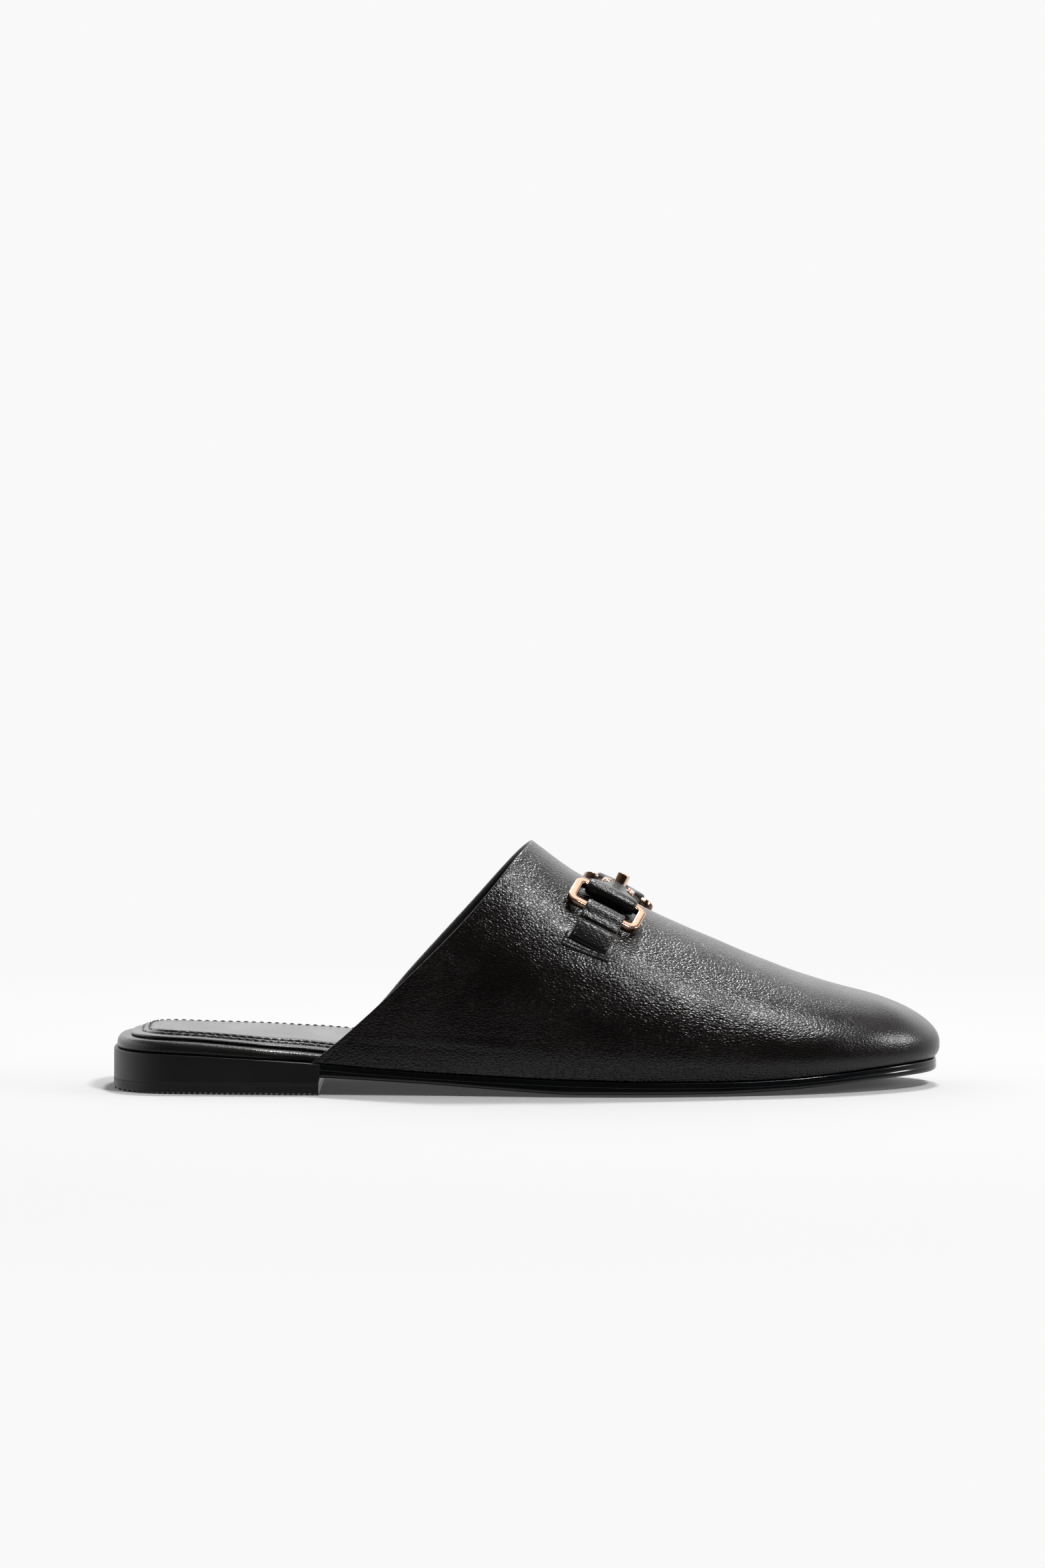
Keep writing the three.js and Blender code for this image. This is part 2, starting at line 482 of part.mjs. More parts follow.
function sidePieces(side) {
  const path = arch(side), skin = STRAP.skin;
  const barW = RING.bar, barT = RING.thick;
  // the strap's roll round the ring and round the link
  const rollT = barT + 2 * (GAP + skin), rollW = barW + 2 * (GAP + skin);
  const proud = side > 0 ? 0.5 : 0.1;
  const up = onArch(path, RING.upper, rollT / 2 + GAP + proud), low = onArch(path, RING.lower, rollT / 2 + GAP + proud);
  const eye = onArch(path, LINK.reach, LINK.lift);
  const eyeR = LINK.bar + 2 * (GAP + 0.6);
  const body = strip(path, LINK.reach, RING.upper, () => GAP, t => lerp(LINK.lift + eyeR / 2 - 0.25, rollT + GAP - 0.2, t * t * (3 - 2 * t)) - 0.5 * Math.sin(Math.PI * t));
  let strap = solid(slab(body, STRAP.wide))
    .add(solid(slab(roundBox(up, rollW, rollT, 1.7), STRAP.wide)))
    .add(solid(slab(roundBox(eye, eyeR, eyeR, eyeR / 2 - 0.05, 4), STRAP.wide)));
  strap = strap.subtract(solid(slab(roundBox(up, barW + 2 * GAP, barT + 2 * GAP, 0.9), 40)))
    .subtract(solid(slab(roundBox(eye, LINK.bar + 3 * GAP, LINK.bar + 3 * GAP, LINK.bar / 2 + GAP, 3), 40)));
  const y = k => side * k - BIT_OFF, w = STRAP.wide / 2, t = STRAP.narrow / 2;
  const planPairs = [[-w, y(30)], [-w, y(12)], [-t, y(5.0)], [-t, y(-6)], [t, y(-6)], [t, y(5.0)], [w, y(12)], [w, y(30)]];
  strap = strap.intersect(solid(wedge(side > 0 ? planPairs.reverse() : planPairs, -40, 40))).subtract(cutter);

  // the tab: a folded loop round the ring's lower bar, run down the vamp to its stitched foot
  const tabT = barT + 2 * (GAP + TAB.skin), tabW = barW + 2 * (GAP + TAB.skin);
  const tail = strip(path, RING.lower - 0.5, TAB.foot, () => GAP, s => lerp(tabT - 0.2, 2.1, Math.min(1, s * 4)) - 0.9 * Math.max(0, s - 0.75) / 0.25, 14);
  let tab = solid(slab(tail, TAB.wide).translate(TAB.shift, 0, 0)).add(solid(slab(roundBox(low, tabW, tabT, 1.75), TAB.wide).translate(TAB.shift, 0, 0)));
  tab = tab.subtract(solid(slab(roundBox(low, barW + 2 * GAP, barT + 2 * GAP, 0.9), 40))).subtract(cutter);

  // the ring: a flat frame through both bars
  const dy = low.y - up.y, dz = low.z - up.z, span = Math.hypot(dy, dz);
  const L = RING.length, W = span + barW, r = RING.corner;
  const frame = (a, b, c) => {
    const s = new THREE.Shape();
    s.moveTo(-a + c, -b); s.lineTo(a - c, -b); s.absarc(a - c, -b + c, c, -Math.PI / 2, 0, false);
    s.lineTo(a, b - c); s.absarc(a - c, b - c, c, 0, Math.PI / 2, false);
    s.lineTo(-a + c, b); s.absarc(-a + c, b - c, c, Math.PI / 2, Math.PI, false);
    s.lineTo(-a, -b + c); s.absarc(-a + c, -b + c, c, Math.PI, 1.5 * Math.PI, false);
    return s;
  };
  const rim = 0.5, outline = frame(L / 2 - rim, W / 2 - rim, r - rim);
  outline.holes.push(frame(L / 2 - barW + rim, W / 2 - barW + rim, r - barW + rim + 0.5));
  const g = new THREE.ExtrudeGeometry(outline, { depth: barT - 2 * rim, steps: 1, bevelEnabled: true, bevelSize: rim, bevelThickness: rim, bevelSegments: 1, curveSegments: 5 });
  g.translate(0, 0, -(barT - 2 * rim) / 2);
  // ring axes: x down the ridge, y from upper to lower bar, z off the leather
  const ny = -dz / span * side, nz = dy / span * side;
  const flip = side < 0 ? -1 : 1;
  g.applyMatrix4(new THREE.Matrix4().set(
    1, 0, 0, 0,
    0, dy / span, ny, (up.y + low.y) / 2,
    0, dz / span, nz, (up.z + low.z) / 2,
    0, 0, 0, 1));
  return { strap: fromSolid(strap), tab: fromSolid(tab), ring: tidy(g, flip) };
}
// welds an extruded solid and turns its faces out
function tidy(g) {
  const c = g.index ? g.toNonIndexed() : g;
  const p = c.attributes.position, points = [], faces = [];
  for (let i = 0; i < p.count; i++) points.push([p.getX(i), p.getY(i), p.getZ(i)]);
  for (let i = 0; i < p.count; i += 3) faces.push([i, i + 1, i + 2]);
  return geometry(points, faces);
}

// the link: a small frame with a middle bar, and a square block standing on it
function link() {
  const l = LINK.length / 2, r = LINK.reach, b = LINK.bar / 2;
  const lateral = onArch(arch(-1), r, LINK.lift), medial = onArch(arch(1), r, LINK.lift);
  const mid = { y: (lateral.y + medial.y) / 2, z: (lateral.z + medial.z) / 2 };
  const span = Math.hypot(medial.y - lateral.y, medial.z - lateral.z) / 2;
  const tilt = Math.atan2(medial.z - lateral.z, medial.y - lateral.y);
  const ringOf = (a, w, c) => {
    const s = new THREE.Shape();
    s.moveTo(-a + c, -w); s.lineTo(a - c, -w); s.absarc(a - c, -w + c, c, -Math.PI / 2, 0, false);
    s.lineTo(a, w - c); s.absarc(a - c, w - c, c, 0, Math.PI / 2, false);
    s.lineTo(-a + c, w); s.absarc(-a + c, w - c, c, Math.PI / 2, Math.PI, false);
    s.lineTo(-a, -w + c); s.absarc(-a + c, -w + c, c, Math.PI, 1.5 * Math.PI, false);
    return s;
  };
  const rim = 0.35, outline = ringOf(l - rim, span + b - rim, 2.4 - rim);
  outline.holes.push(ringOf(l - 2 * b + rim, span - b + rim, 1.0 + rim));
  const g = new THREE.ExtrudeGeometry(outline, { depth: 2 * b - 2 * rim, steps: 1, bevelEnabled: true, bevelSize: rim, bevelThickness: rim, bevelSegments: 1, curveSegments: 4 });
  g.translate(0, 0, -(b - rim));
  const block = new THREE.BoxGeometry(BLOCK.length, BLOCK.depth, BLOCK.top - LINK.lift + 0.5);
  block.translate(0, 0, (BLOCK.top - LINK.lift - 0.5) / 2);
  const bar = new THREE.BoxGeometry(LINK.length - 1.2, 1.5, 1.2);
  const all = solid(tidy(g)).add(solid(tidy(block))).add(solid(tidy(bar)));
  const out = fromSolid(all);
  out.applyMatrix4(new THREE.Matrix4().makeRotationX(tilt));
  out.translate(0, mid.y, mid.z);
  return out;
}

// ------------------------------------------------------------------------ assembly
const LEATHER = { color: 0x1c1917, roughness: 0.48, metalness: 0 };
const EDGE_BLACK = { color: 0x101214, roughness: 0.35, metalness: 0 };
const GOLD = { color: 0xdba98c, roughness: 0.18, metalness: 1 };
function piece(name, geo, look) {
  const mesh = new THREE.Mesh(geo, new THREE.MeshStandardMaterial(look));
  mesh.name = name;
  return mesh;
}
const shoe = new THREE.Group();
shoe.add(
  piece('outsole', soleUnit(), EDGE_BLACK),
  piece('heel_lift', heelLift(), { color: 0x0d0e10, roughness: 0.7, metalness: 0 }),
  piece('footbed', footbed(), LEATHER),
  piece('sock_pad', sockPad(), { color: 0x24211f, roughness: 0.6, metalness: 0 }),
  piece('upper', upper(), LEATHER),
);
const bit = new THREE.Group();
bit.position.set(R0[0], R0[1], R0[2]);
bit.rotation.set(0, SLOPE, -SKEW);
const lateral = sidePieces(-1), medial = sidePieces(1);
bit.add(
  piece('strap_lateral', lateral.strap, LEATHER),
  piece('strap_medial', medial.strap, LEATHER),
  piece('tab_lateral', lateral.tab, LEATHER),
  piece('tab_medial', medial.tab, LEATHER),
  piece('ring_lateral', lateral.ring, GOLD),
  piece('ring_medial', medial.ring, GOLD),
  piece('bit_link', link(), GOLD),
);
shoe.add(bit);

// origin at the middle of the footprint, on the floor
shoe.updateMatrixWorld(true);
const box = new THREE.Box3().setFromObject(shoe, true);
shoe.position.set(-(box.min.x + box.max.x) / 2, -(box.min.y + box.max.y) / 2, -box.min.z);
shoe.updateMatrixWorld(true);

export default shoe;
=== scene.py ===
import bpy
import math
import numpy as np
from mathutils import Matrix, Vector


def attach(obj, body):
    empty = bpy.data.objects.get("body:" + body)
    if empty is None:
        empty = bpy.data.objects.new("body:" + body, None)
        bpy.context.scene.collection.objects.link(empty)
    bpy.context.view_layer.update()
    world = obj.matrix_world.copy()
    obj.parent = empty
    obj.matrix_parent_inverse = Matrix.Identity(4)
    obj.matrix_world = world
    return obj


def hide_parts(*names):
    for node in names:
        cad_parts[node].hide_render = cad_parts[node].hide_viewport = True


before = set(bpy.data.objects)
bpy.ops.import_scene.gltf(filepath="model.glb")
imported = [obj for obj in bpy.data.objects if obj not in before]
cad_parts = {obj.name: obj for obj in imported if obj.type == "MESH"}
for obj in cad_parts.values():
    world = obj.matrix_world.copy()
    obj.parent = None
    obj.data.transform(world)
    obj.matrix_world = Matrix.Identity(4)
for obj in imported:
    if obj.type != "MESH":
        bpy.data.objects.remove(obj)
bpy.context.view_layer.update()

# Backless loafer mule, right foot. Shapes are worked out in millimetres from the back of the heel
# (s along the shoe, y across, z up) and moved into the part's frame, in metres, when a mesh is made.
OFFSET = np.array([-131.0750, -1.2431, 0.0])

# ---------------------------------------------------------------- sizes (mm)
SOLE_LENGTH = 261.1
BALL_WIDTH = 80.0
HEEL_SEAT = 12.8
INSTEP_HEIGHT = 78.2
HEEL_LENGTH = 65.8
LIFT_HEIGHT = 3.4
WALL = 1.7
GAP = 0.3
FEATHER_INSET = 0.5
FOOTBED_THICK = 3.8
SOCK_INSET = 4.4
TOE_ROUND = (210.0, 2.22)
HEEL_ROUND = (24.0, 2.6)
TOE_DOME = (238.5, 2.5)
BIT_AT = 159.1
BIT_SKEW = math.radians(4.5)
BIT_OFF = 1.9
FOOT = 0.12

# at, centre, half width as a share of half the ball width
PLAN = [(0, 1.2, .708), (24, .2, .722), (45, -.7, .750), (66, -1.8, .760), (88, -2.7, .768), (108, -2.8, .806), (128, -2.1, .880),
        (148, -.8, .955), (166, .5, .996), (184, 2.0, .996), (202, 3.4, .957), (220, 4.8, .896), (240, 6.3, .810), (261, 7.6, .725)]
# at, top of the sole as a share of the heel seat, walking face
PROFILE = [(0, 1.0, 6.2), (20, .957, 6.1), (40, .883, 5.9), (66, .758, 4.75), (80, .660, 4.0), (100, .553, 2.85), (124, .457, 1.15),
           (146, .394, 0), (168, .358, 0), (188, .348, 0), (201, .359, .35), (213, .398, .95), (226, .469, 1.85), (240, .559, 2.95),
           (252, .625, 3.65), (261, .656, 3.95)]
# at, ridge as a share of the instep height, ridge's y, bulge, height of the widest line, roundness
SECTIONS = [(56, 1.29, .4, .1, 11, 2.1), (84, 1.245, .9, .7, 12, 2.08), (108, 1.155, 1.0, 1.2, 12, 2.04), (122, 1.072, 1.1, 1.5, 11.5, 2.0),
            (132, 1.0, 1.2, 1.7, 11, 1.98), (145.5, .8740, 1.4, 2.0, 10.5, 1.97), (158, .7895, 1.7, 2.2, 10, 1.98), (172, .6965, 2.4, 2.3, 9.2, 2.0),
            (188, .6045, 3.4, 2.2, 8.4, 2.04), (206, .5060, 4.6, 2.0, 7.4, 2.1), (224, .4225, 5.8, 1.8, 6.2, 2.16), (242, .3580, 6.8, 1.6, 4.9, 2.2),
            (261, .2900, 7.6, 1.2, 3.6, 2.2)]
# height of the mouth's edge, how far from the heel on the outer and inner side
MOUTH = [(4, 54, 60.5), (10, 62.8, 68.3), (16, 70.3, 75.2), (24, 79.4, 83.4), (34, 90.1, 91.9), (46, 102.5, 102.8), (58, 114.0, 113.7),
         (68, 122.6, 122.5), (75, 128.5, 128.8), (78.3, 132.2, 132.2)]
INSET = [(0, 1.0), (44, 1.0), (60, 2.75), (261, 2.75)]
TWIST = [(0, 0), (24, .1), (40, .5), (58, 1.1), (74, 1.4), (100, 1.25), (135, .7), (175, .2), (215, 0), (261, 0)]


# ------------------------------------------------------------------ interpolation
def place(x, t):
    return np.clip(np.searchsorted(x, t, side="left") - 1, 0, len(x) - 2)


def curve(rows, col):
    """Natural cubic through a table's column."""
    x = np.array([r[0] for r in rows], float)
    y = np.array([r[col] for r in rows], float)
    n = len(x)
    u, m = np.zeros(n), np.zeros(n)
    for i in range(1, n - 1):
        s = (x[i] - x[i - 1]) / (x[i + 1] - x[i - 1])
        p = s * m[i - 1] + 2
        m[i] = (s - 1) / p
        d = (y[i + 1] - y[i]) / (x[i + 1] - x[i]) - (y[i] - y[i - 1]) / (x[i] - x[i - 1])
        u[i] = (6 * d / (x[i + 1] - x[i - 1]) - s * u[i - 1]) / p
    for i in range(n - 2, -1, -1):
        m[i] = m[i] * m[i + 1] + u[i]

    def f(t):
        t = np.asarray(t, float)
        i = place(x, t)
        h = x[i + 1] - x[i]
        a, b = (x[i + 1] - t) / h, (t - x[i]) / h
        r = a * y[i] + b * y[i + 1] + ((a ** 3 - a) * m[i] + (b ** 3 - b) * m[i + 1]) * h * h / 6
        before = y[0] + (t - x[0]) * ((y[1] - y[0]) / (x[1] - x[0]) - (x[1] - x[0]) * m[1] / 6)
        return np.where(t <= x[0], before, np.where(t > x[-1], y[-1], r))
    return f


def steady(rows, col):
    """Monotone cubic, which keeps a flat run flat."""
    x = np.array([r[0] for r in rows], float)
    y = np.array([r[col] for r in rows], float)
    n = len(x)
    d = np.diff(y) / np.diff(x)
    t = np.zeros(n)
    t[0], t[-1] = d[0], d[-1]
    for i in range(1, n - 1):
        if d[i - 1] * d[i] > 0:
            w1, w2 = 2 * (x[i + 1] - x[i]) + (x[i] - x[i - 1]), (x[i + 1] - x[i]) + 2 * (x[i] - x[i - 1])
            t[i] = (w1 + w2) / (w1 / d[i - 1] + w2 / d[i])

    def f(v):
        v = np.clip(np.asarray(v, float), x[0], x[-1])
        i = place(x, v)
        h = x[i + 1] - x[i]
        s = (v - x[i]) / h
        s2, s3 = s * s, s * s * s
        return (2 * s3 - 3 * s2 + 1) * y[i] + (s3 - 2 * s2 + s) * h * t[i] + (3 * s2 - 2 * s3) * y[i + 1] + (s3 - s2) * h * t[i + 1]
    return f


def lerp(a, b, t):
    return a + (b - a) * t


def smooth(t):
    t = np.clip(t, 0, 1)
    return t * t * (3 - 2 * t)


def quarter(t, power):
    return np.maximum(0, 1 - np.clip(t, 0, 1) ** power) ** (1 / power)


centre, half_share = curve(PLAN, 1), curve(PLAN, 2)
seam_share, under = steady(PROFILE, 1), steady(PROFILE, 2)
ridge_share, ridge_y, bulge, beam, full = (curve(SECTIONS, c) for c in range(1, 6))
mouth_lat, mouth_med = steady(MOUTH, 1), steady(MOUTH, 2)
inset, twist = steady(INSET, 1), steady(TWIST, 1)


def seam(s):
    return seam_share(s) * HEEL_SEAT


def half(s):
    return (half_share(s) * BALL_WIDTH / 2 * quarter(1 - s / HEEL_ROUND[0], HEEL_ROUND[1])
            * quarter((s - TOE_ROUND[0]) / (SOLE_LENGTH - TOE_ROUND[0]), TOE_ROUND[1]))


def raw_edge(side, t):
    s = SOLE_LENGTH * (1 - np.cos(np.pi * t)) / 2
    return s, centre(s) + side * half(s)


def edge(side, s, out):
    """A point of the sole's edge at station s, moved outward by `out` square to the edge."""
    side, s, out = np.broadcast_arrays(np.asarray(side, float), np.asarray(s, float), np.asarray(out, float))
    t = np.arccos(np.clip(1 - 2 * s / SOLE_LENGTH, -1, 1)) / np.pi
    e = 1e-4
    ax, ay = raw_edge(side, np.maximum(0, t - e))
    bx, by = raw_edge(side, np.minimum(1, t + e))
    px, py = raw_edge(side, t)
    dx, dy = bx - ax, by - ay
    ln = np.maximum(np.hypot(dx, dy), 1e-12)
    x, y = px - side * dy / ln * out, py + side * dx / ln * out
    back, front = t < 1e-6, t > 1 - 1e-6
    x = np.where(back, -out, np.where(front, SOLE_LENGTH + out, x))
    y = np.where(back, centre(0), np.where(front, centre(SOLE_LENGTH), y))
    return x, y


def height_at(s, lift):
    z = seam(s) + GAP + beam(s)
    return z + (ridge_share(s) * INSTEP_HEIGHT + lift - z) * quarter((s - TOE_DOME[0]) / (SOLE_LENGTH - TOE_DOME[0]), TOE_DOME[1])


def last(s, v, lift=0.0):
    """A point of the upper: v runs 0 (outer seam) over the ridge to 1 (inner seam)."""
    s, v, lift = np.broadcast_arrays(np.asarray(s, float), np.asarray(v, float), np.asarray(lift, float))
    side = np.where(v < 0.5, -1.0, 1.0)
    w = np.where(v < 0.5, v, 1 - v)
    wx, wy = edge(side, s, bulge(s) + lift)
    zw = seam(s) + GAP + beam(s)
    fx, fy = edge(side, s, lift - FEATHER_INSET)
    z0 = seam(np.clip(fx, 0, SOLE_LENGTH)) + GAP
    q = np.clip(w / FOOT, 0, 1)
    k = 1 - (1 - q) ** 2
    ox, oy = edge(-side, s, bulge(s) + lift)
    n = full(s)
    a = np.clip((w - FOOT) / (0.5 - FOOT), 0, 1) * np.pi / 2
    c = np.maximum(0, np.cos(a)) ** (2 / n)
    h = np.sin(a) ** (2 / n)
    mx = (wx + ox) / 2
    low = w < FOOT
    return np.stack([np.where(low, lerp(fx, wx, k), lerp(mx, wx, c)),
                     np.where(low, lerp(fy, wy, k), lerp(ridge_y(s), wy, c)),
                     np.where(low, lerp(z0, zw, q), lerp(zw, height_at(s, lift), h))], -1)


def mouth_at(v, lift):
    """Station where the mouth cuts the girth line v."""
    v = np.asarray(v, float)
    lo, hi = np.full(v.shape, 50.0), np.full(v.shape, 134.0)
    for _ in range(44):
        mid = (lo + hi) / 2
        z = last(mid, v, lift)[..., 2] - lift * 0.7
        cut = np.where(v < 0.5, mouth_lat(z), mouth_med(z))
        lo, hi = np.where(mid < cut, mid, lo), np.where(mid < cut, hi, mid)
    return (lo + hi) / 2


def bed_top(s, y):
    return seam(s) + GAP + FOOTBED_THICK + twist(s) * (y - centre(s)) / 26


# ------------------------------------------------------------------ hardware axes
R0, RA, RB = last(BIT_AT, 0.5), last(BIT_AT - 8, 0.5), last(BIT_AT + 8, 0.5)
SLOPE = math.atan2(RA[2] - RB[2], RB[0] - RA[0])
CS, SS, CK, SK = math.cos(SLOPE), math.sin(SLOPE), math.cos(BIT_SKEW), math.sin(BIT_SKEW)
# columns: down the ridge, across, out of it
BIT = np.array([[CS * CK, CS * SK, SS], [-SK, CK, 0.0], [-SS * CK, -SS * SK, CS]])


def from_bit(p):
    return np.asarray(p, float) @ BIT.T + R0


def to_bit(p):
    return (np.asarray(p, float) - R0) @ BIT


def arch(side, shift=0.0, steps=160):
    """The vamp's section in the bit's plane, from the ridge down one side, as (across, above)."""
    v = 0.5 + side * np.linspace(0, 0.4, steps + 1)
    v = np.where((v == 0.5) & (side < 0), 0.5 - 1e-9, v)
    lo, hi = np.full(v.shape, BIT_AT - 30.0), np.full(v.shape, BIT_AT + 40.0)
    for _ in range(40):
        mid = (lo + hi) / 2
        x = to_bit(last(mid, v))[..., 0]
        lo, hi = np.where(x < shift, mid, lo), np.where(x < shift, hi, mid)
    return to_bit(last((lo + hi) / 2, v))[..., 1:]


class Arch:
    """Girth and height off the leather into the bit's own across and above."""

    def __init__(self, side, shift=0.0):
        self.side, self.p = side, arch(side, shift)
        d = np.diff(self.p, axis=0)
        self.run = np.concatenate([[0], np.cumsum(np.hypot(d[:, 0], d[:, 1]))])
        t = np.gradient(self.p, axis=0)
        t /= np.hypot(t[:, 0], t[:, 1])[:, None]
        self.n = np.stack([-t[:, 1], t[:, 0]], 1) * side

    def at(self, girth, height):
        g = np.asarray(girth, float) - self.side * BIT_OFF
        y = np.interp(g, self.run, self.p[:, 0])
        z = np.interp(g, self.run, self.p[:, 1])
        # short of the ridge: carry on along the first tangent, mirrored
        short = g < 0
        t0 = np.array([self.n[0, 1], -self.n[0, 0]]) * self.side
        y = np.where(short, self.p[0, 0] + t0[0] * g, y)
        z = np.where(short, self.p[0, 1] + t0[1] * g, z)
        ny, nz = np.interp(g, self.run, self.n[:, 0]), np.interp(g, self.run, self.n[:, 1])
        ln = np.hypot(ny, nz)
        return y + ny / ln * height, z + nz / ln * height


SIDES = {-1: Arch(-1), 1: Arch(1)}


# ------------------------------------------------------------------ mesh helpers
def to_frame(p):
    return (np.asarray(p, float) + OFFSET) / 1000.0


def make(name, points, faces, mats=(), face_mat=None, sharp=None, merge=0.0):
    """A mesh object from points in millimetres."""
    me = bpy.data.meshes.new(name)
    me.from_pydata(to_frame(points).tolist(), [], [list(f) for f in faces])
    for m in mats:
        me.materials.append(m)
    if face_mat is not None:
        me.polygons.foreach_set("material_index", np.asarray(face_mat, np.int32))
    me.polygons.foreach_set("use_smooth", np.ones(len(me.polygons), bool))
    ob = bpy.data.objects.new(name, me)
    bpy.context.scene.collection.objects.link(ob)
    import bmesh
    bm = bmesh.new()
    bm.from_mesh(me)
    if merge:
        bmesh.ops.remove_doubles(bm, verts=bm.verts, dist=merge / 1000.0)
        bmesh.ops.dissolve_degenerate(bm, dist=1e-7, edges=bm.edges)
    bmesh.ops.recalc_face_normals(bm, faces=bm.faces)
    bm.to_mesh(me)
    bm.free()
    if sharp:
        me.set_sharp_from_angle(angle=math.radians(sharp))
    me.update()
    return ob


def grid_faces(rows, cols, base=0, wrap_rows=False, wrap_cols=False):
    out = []
    for j in range(rows if wrap_rows else rows - 1):
        for i in range(cols if wrap_cols else cols - 1):
            a, b = j * cols + i, j * cols + (i + 1) % cols
            c, d = ((j + 1) % rows) * cols + (i + 1) % cols, ((j + 1) % rows) * cols + i
            out.append((base + a, base + b, base + c, base + d))
    return out


def spread(a, b, count, round_a=False, round_b=False):
    t = np.linspace(0, 1, count + 1)
    if round_a and round_b:
        f = (1 - np.cos(np.pi * t)) / 2
    elif round_b:
        f = np.sin(np.pi * t / 2)
    elif round_a:
        f = 1 - np.cos(np.pi * t / 2)
    else:
        f = t
    return lerp(a, b, f)


def plate(name, stations, ring, columns, top=None, bottom=None, mats=(), face_mat=None, sharp=None):
    """A plate whose edge, at each station and side, is ring(side, s) from top to bottom. The faces
    across it have `columns` strips, and top(s, y, share) or bottom may lift them."""
    points = []
    for s in stations:
        a, b = ring(-1, s), ring(1, s)
        loop = list(a)
        for k in range(1, columns):
            p = lerp(a[-1], b[-1], k / columns)
            loop.append(p + np.array([0, 0, bottom(p[0], p[1], k / columns)]) if bottom else p)
        loop += list(b[::-1])
        for k in range(1, columns):
            p = lerp(b[0], a[0], k / columns)
            loop.append(p + np.array([0, 0, top(p[0], p[1], 1 - k / columns)]) if top else p)
        points.append(np.array(loop))
    m = len(points[0])
    faces = grid_faces(len(stations), m, wrap_cols=True)
    for j in (0, len(stations) - 1):
        if np.ptp(points[j][:, 1]) > 0.5:       # an end that isn't drawn in to a line is closed
            faces.append(tuple(j * m + i for i in range(m)))
    return make(name, np.concatenate(points), faces, mats, face_mat, sharp, merge=0.002)


def superellipse(a, b, power, angles):
    c, s = np.cos(angles), np.sin(angles)
    return np.sign(c) * np.abs(c) ** (2 / power) * a, np.sign(s) * np.abs(s) ** (2 / power) * b


def tube(path, section, normal, closed=False):
    """Sweeps a section, points (side, up), along a path with a fixed up direction."""
    path = np.asarray(path, float)
    n, m = len(path), len(section)
    if closed:
        t = np.roll(path, -1, 0) - np.roll(path, 1, 0)
    else:
        t = np.gradient(path, axis=0)
    t /= np.linalg.norm(t, axis=1)[:, None]
    up = np.broadcast_to(np.asarray(normal, float), path.shape)
    side = np.cross(t, up)
    side /= np.linalg.norm(side, axis=1)[:, None]
    up = np.cross(side, t)
    pts = path[:, None, :] + section[None, :, 0, None] * side[:, None, :] + section[None, :, 1, None] * up[:, None, :]
    faces = grid_faces(n, m, wrap_rows=closed, wrap_cols=True)
    if not closed:
        faces.append(tuple(range(m)))
        faces.append(tuple((n - 1) * m + i for i in range(m))[::-1])
    return pts.reshape(-1, 3), faces


def join(parts):
    """Several (points, faces) as one."""
    pts, faces, base = [], [], 0
    for p, f in parts:
        pts.append(p)
        faces += [tuple(i + base for i in g) for g in f]
        base += len(p)
    return np.concatenate(pts), faces


def stitch_run(points, normals, pitch, length, radius, sink=0.0, tilt=0.0, start=0.5, flat=0.8):
    """Thread stitches laid end to end along a line of points."""
    points, normals = np.asarray(points, float), np.asarray(normals, float)
    d = np.linalg.norm(np.diff(points, axis=0), axis=1)
    run = np.concatenate([[0], np.cumsum(d)])
    count = max(1, int(round(run[-1] / pitch)))
    pitch = run[-1] / count
    rings, around = 7, 6
    parts = []

    def at(u):
        return np.array([np.interp(u, run, points[:, k]) for k in range(3)])

    for i in range(count):
        c = (i + start) * pitch
        a, b = at(c - length / 2), at(c + length / 2)
        m = at(c)
        n = np.array([np.interp(c, run, normals[:, k]) for k in range(3)])
        n /= np.linalg.norm(n)
        t = b - a
        t /= max(np.linalg.norm(t), 1e-9)
        n = n - t * np.dot(n, t)
        n /= np.linalg.norm(n)
        w = np.cross(t, n)
        t = t * math.cos(tilt) + w * math.sin(tilt)
        w = np.cross(t, n)
        pts = []
        for j in range(rings):
            f = -1 + 2 * j / (rings - 1)
            r = radius * (max(0.0, 1 - abs(f) ** 3.0) ** 0.5 + 0.12)
            bow = -0.55 * radius * f * f
            for k in range(around):
                q = 2 * math.pi * k / around
                pts.append(m + t * f * length / 2 + n * (bow - sink + r * math.sin(q) * flat) + w * (r * math.cos(q)))
        faces = grid_faces(rings, around, wrap_cols=True) + [tuple(range(around)), tuple((rings - 1) * around + k for k in range(around))[::-1]]
        parts.append((np.array(pts), faces))
    return join(parts)


# ------------------------------------------------------------------ materials
def nodes_of(name):
    m = bpy.data.materials.new(name)
    m.use_nodes = True
    nt = m.node_tree
    nt.nodes.clear()
    out = nt.nodes.new("ShaderNodeOutputMaterial")
    b = nt.nodes.new("ShaderNodeBsdfPrincipled")
    nt.links.new(b.outputs[0], out.inputs[0])
    return m, nt, b


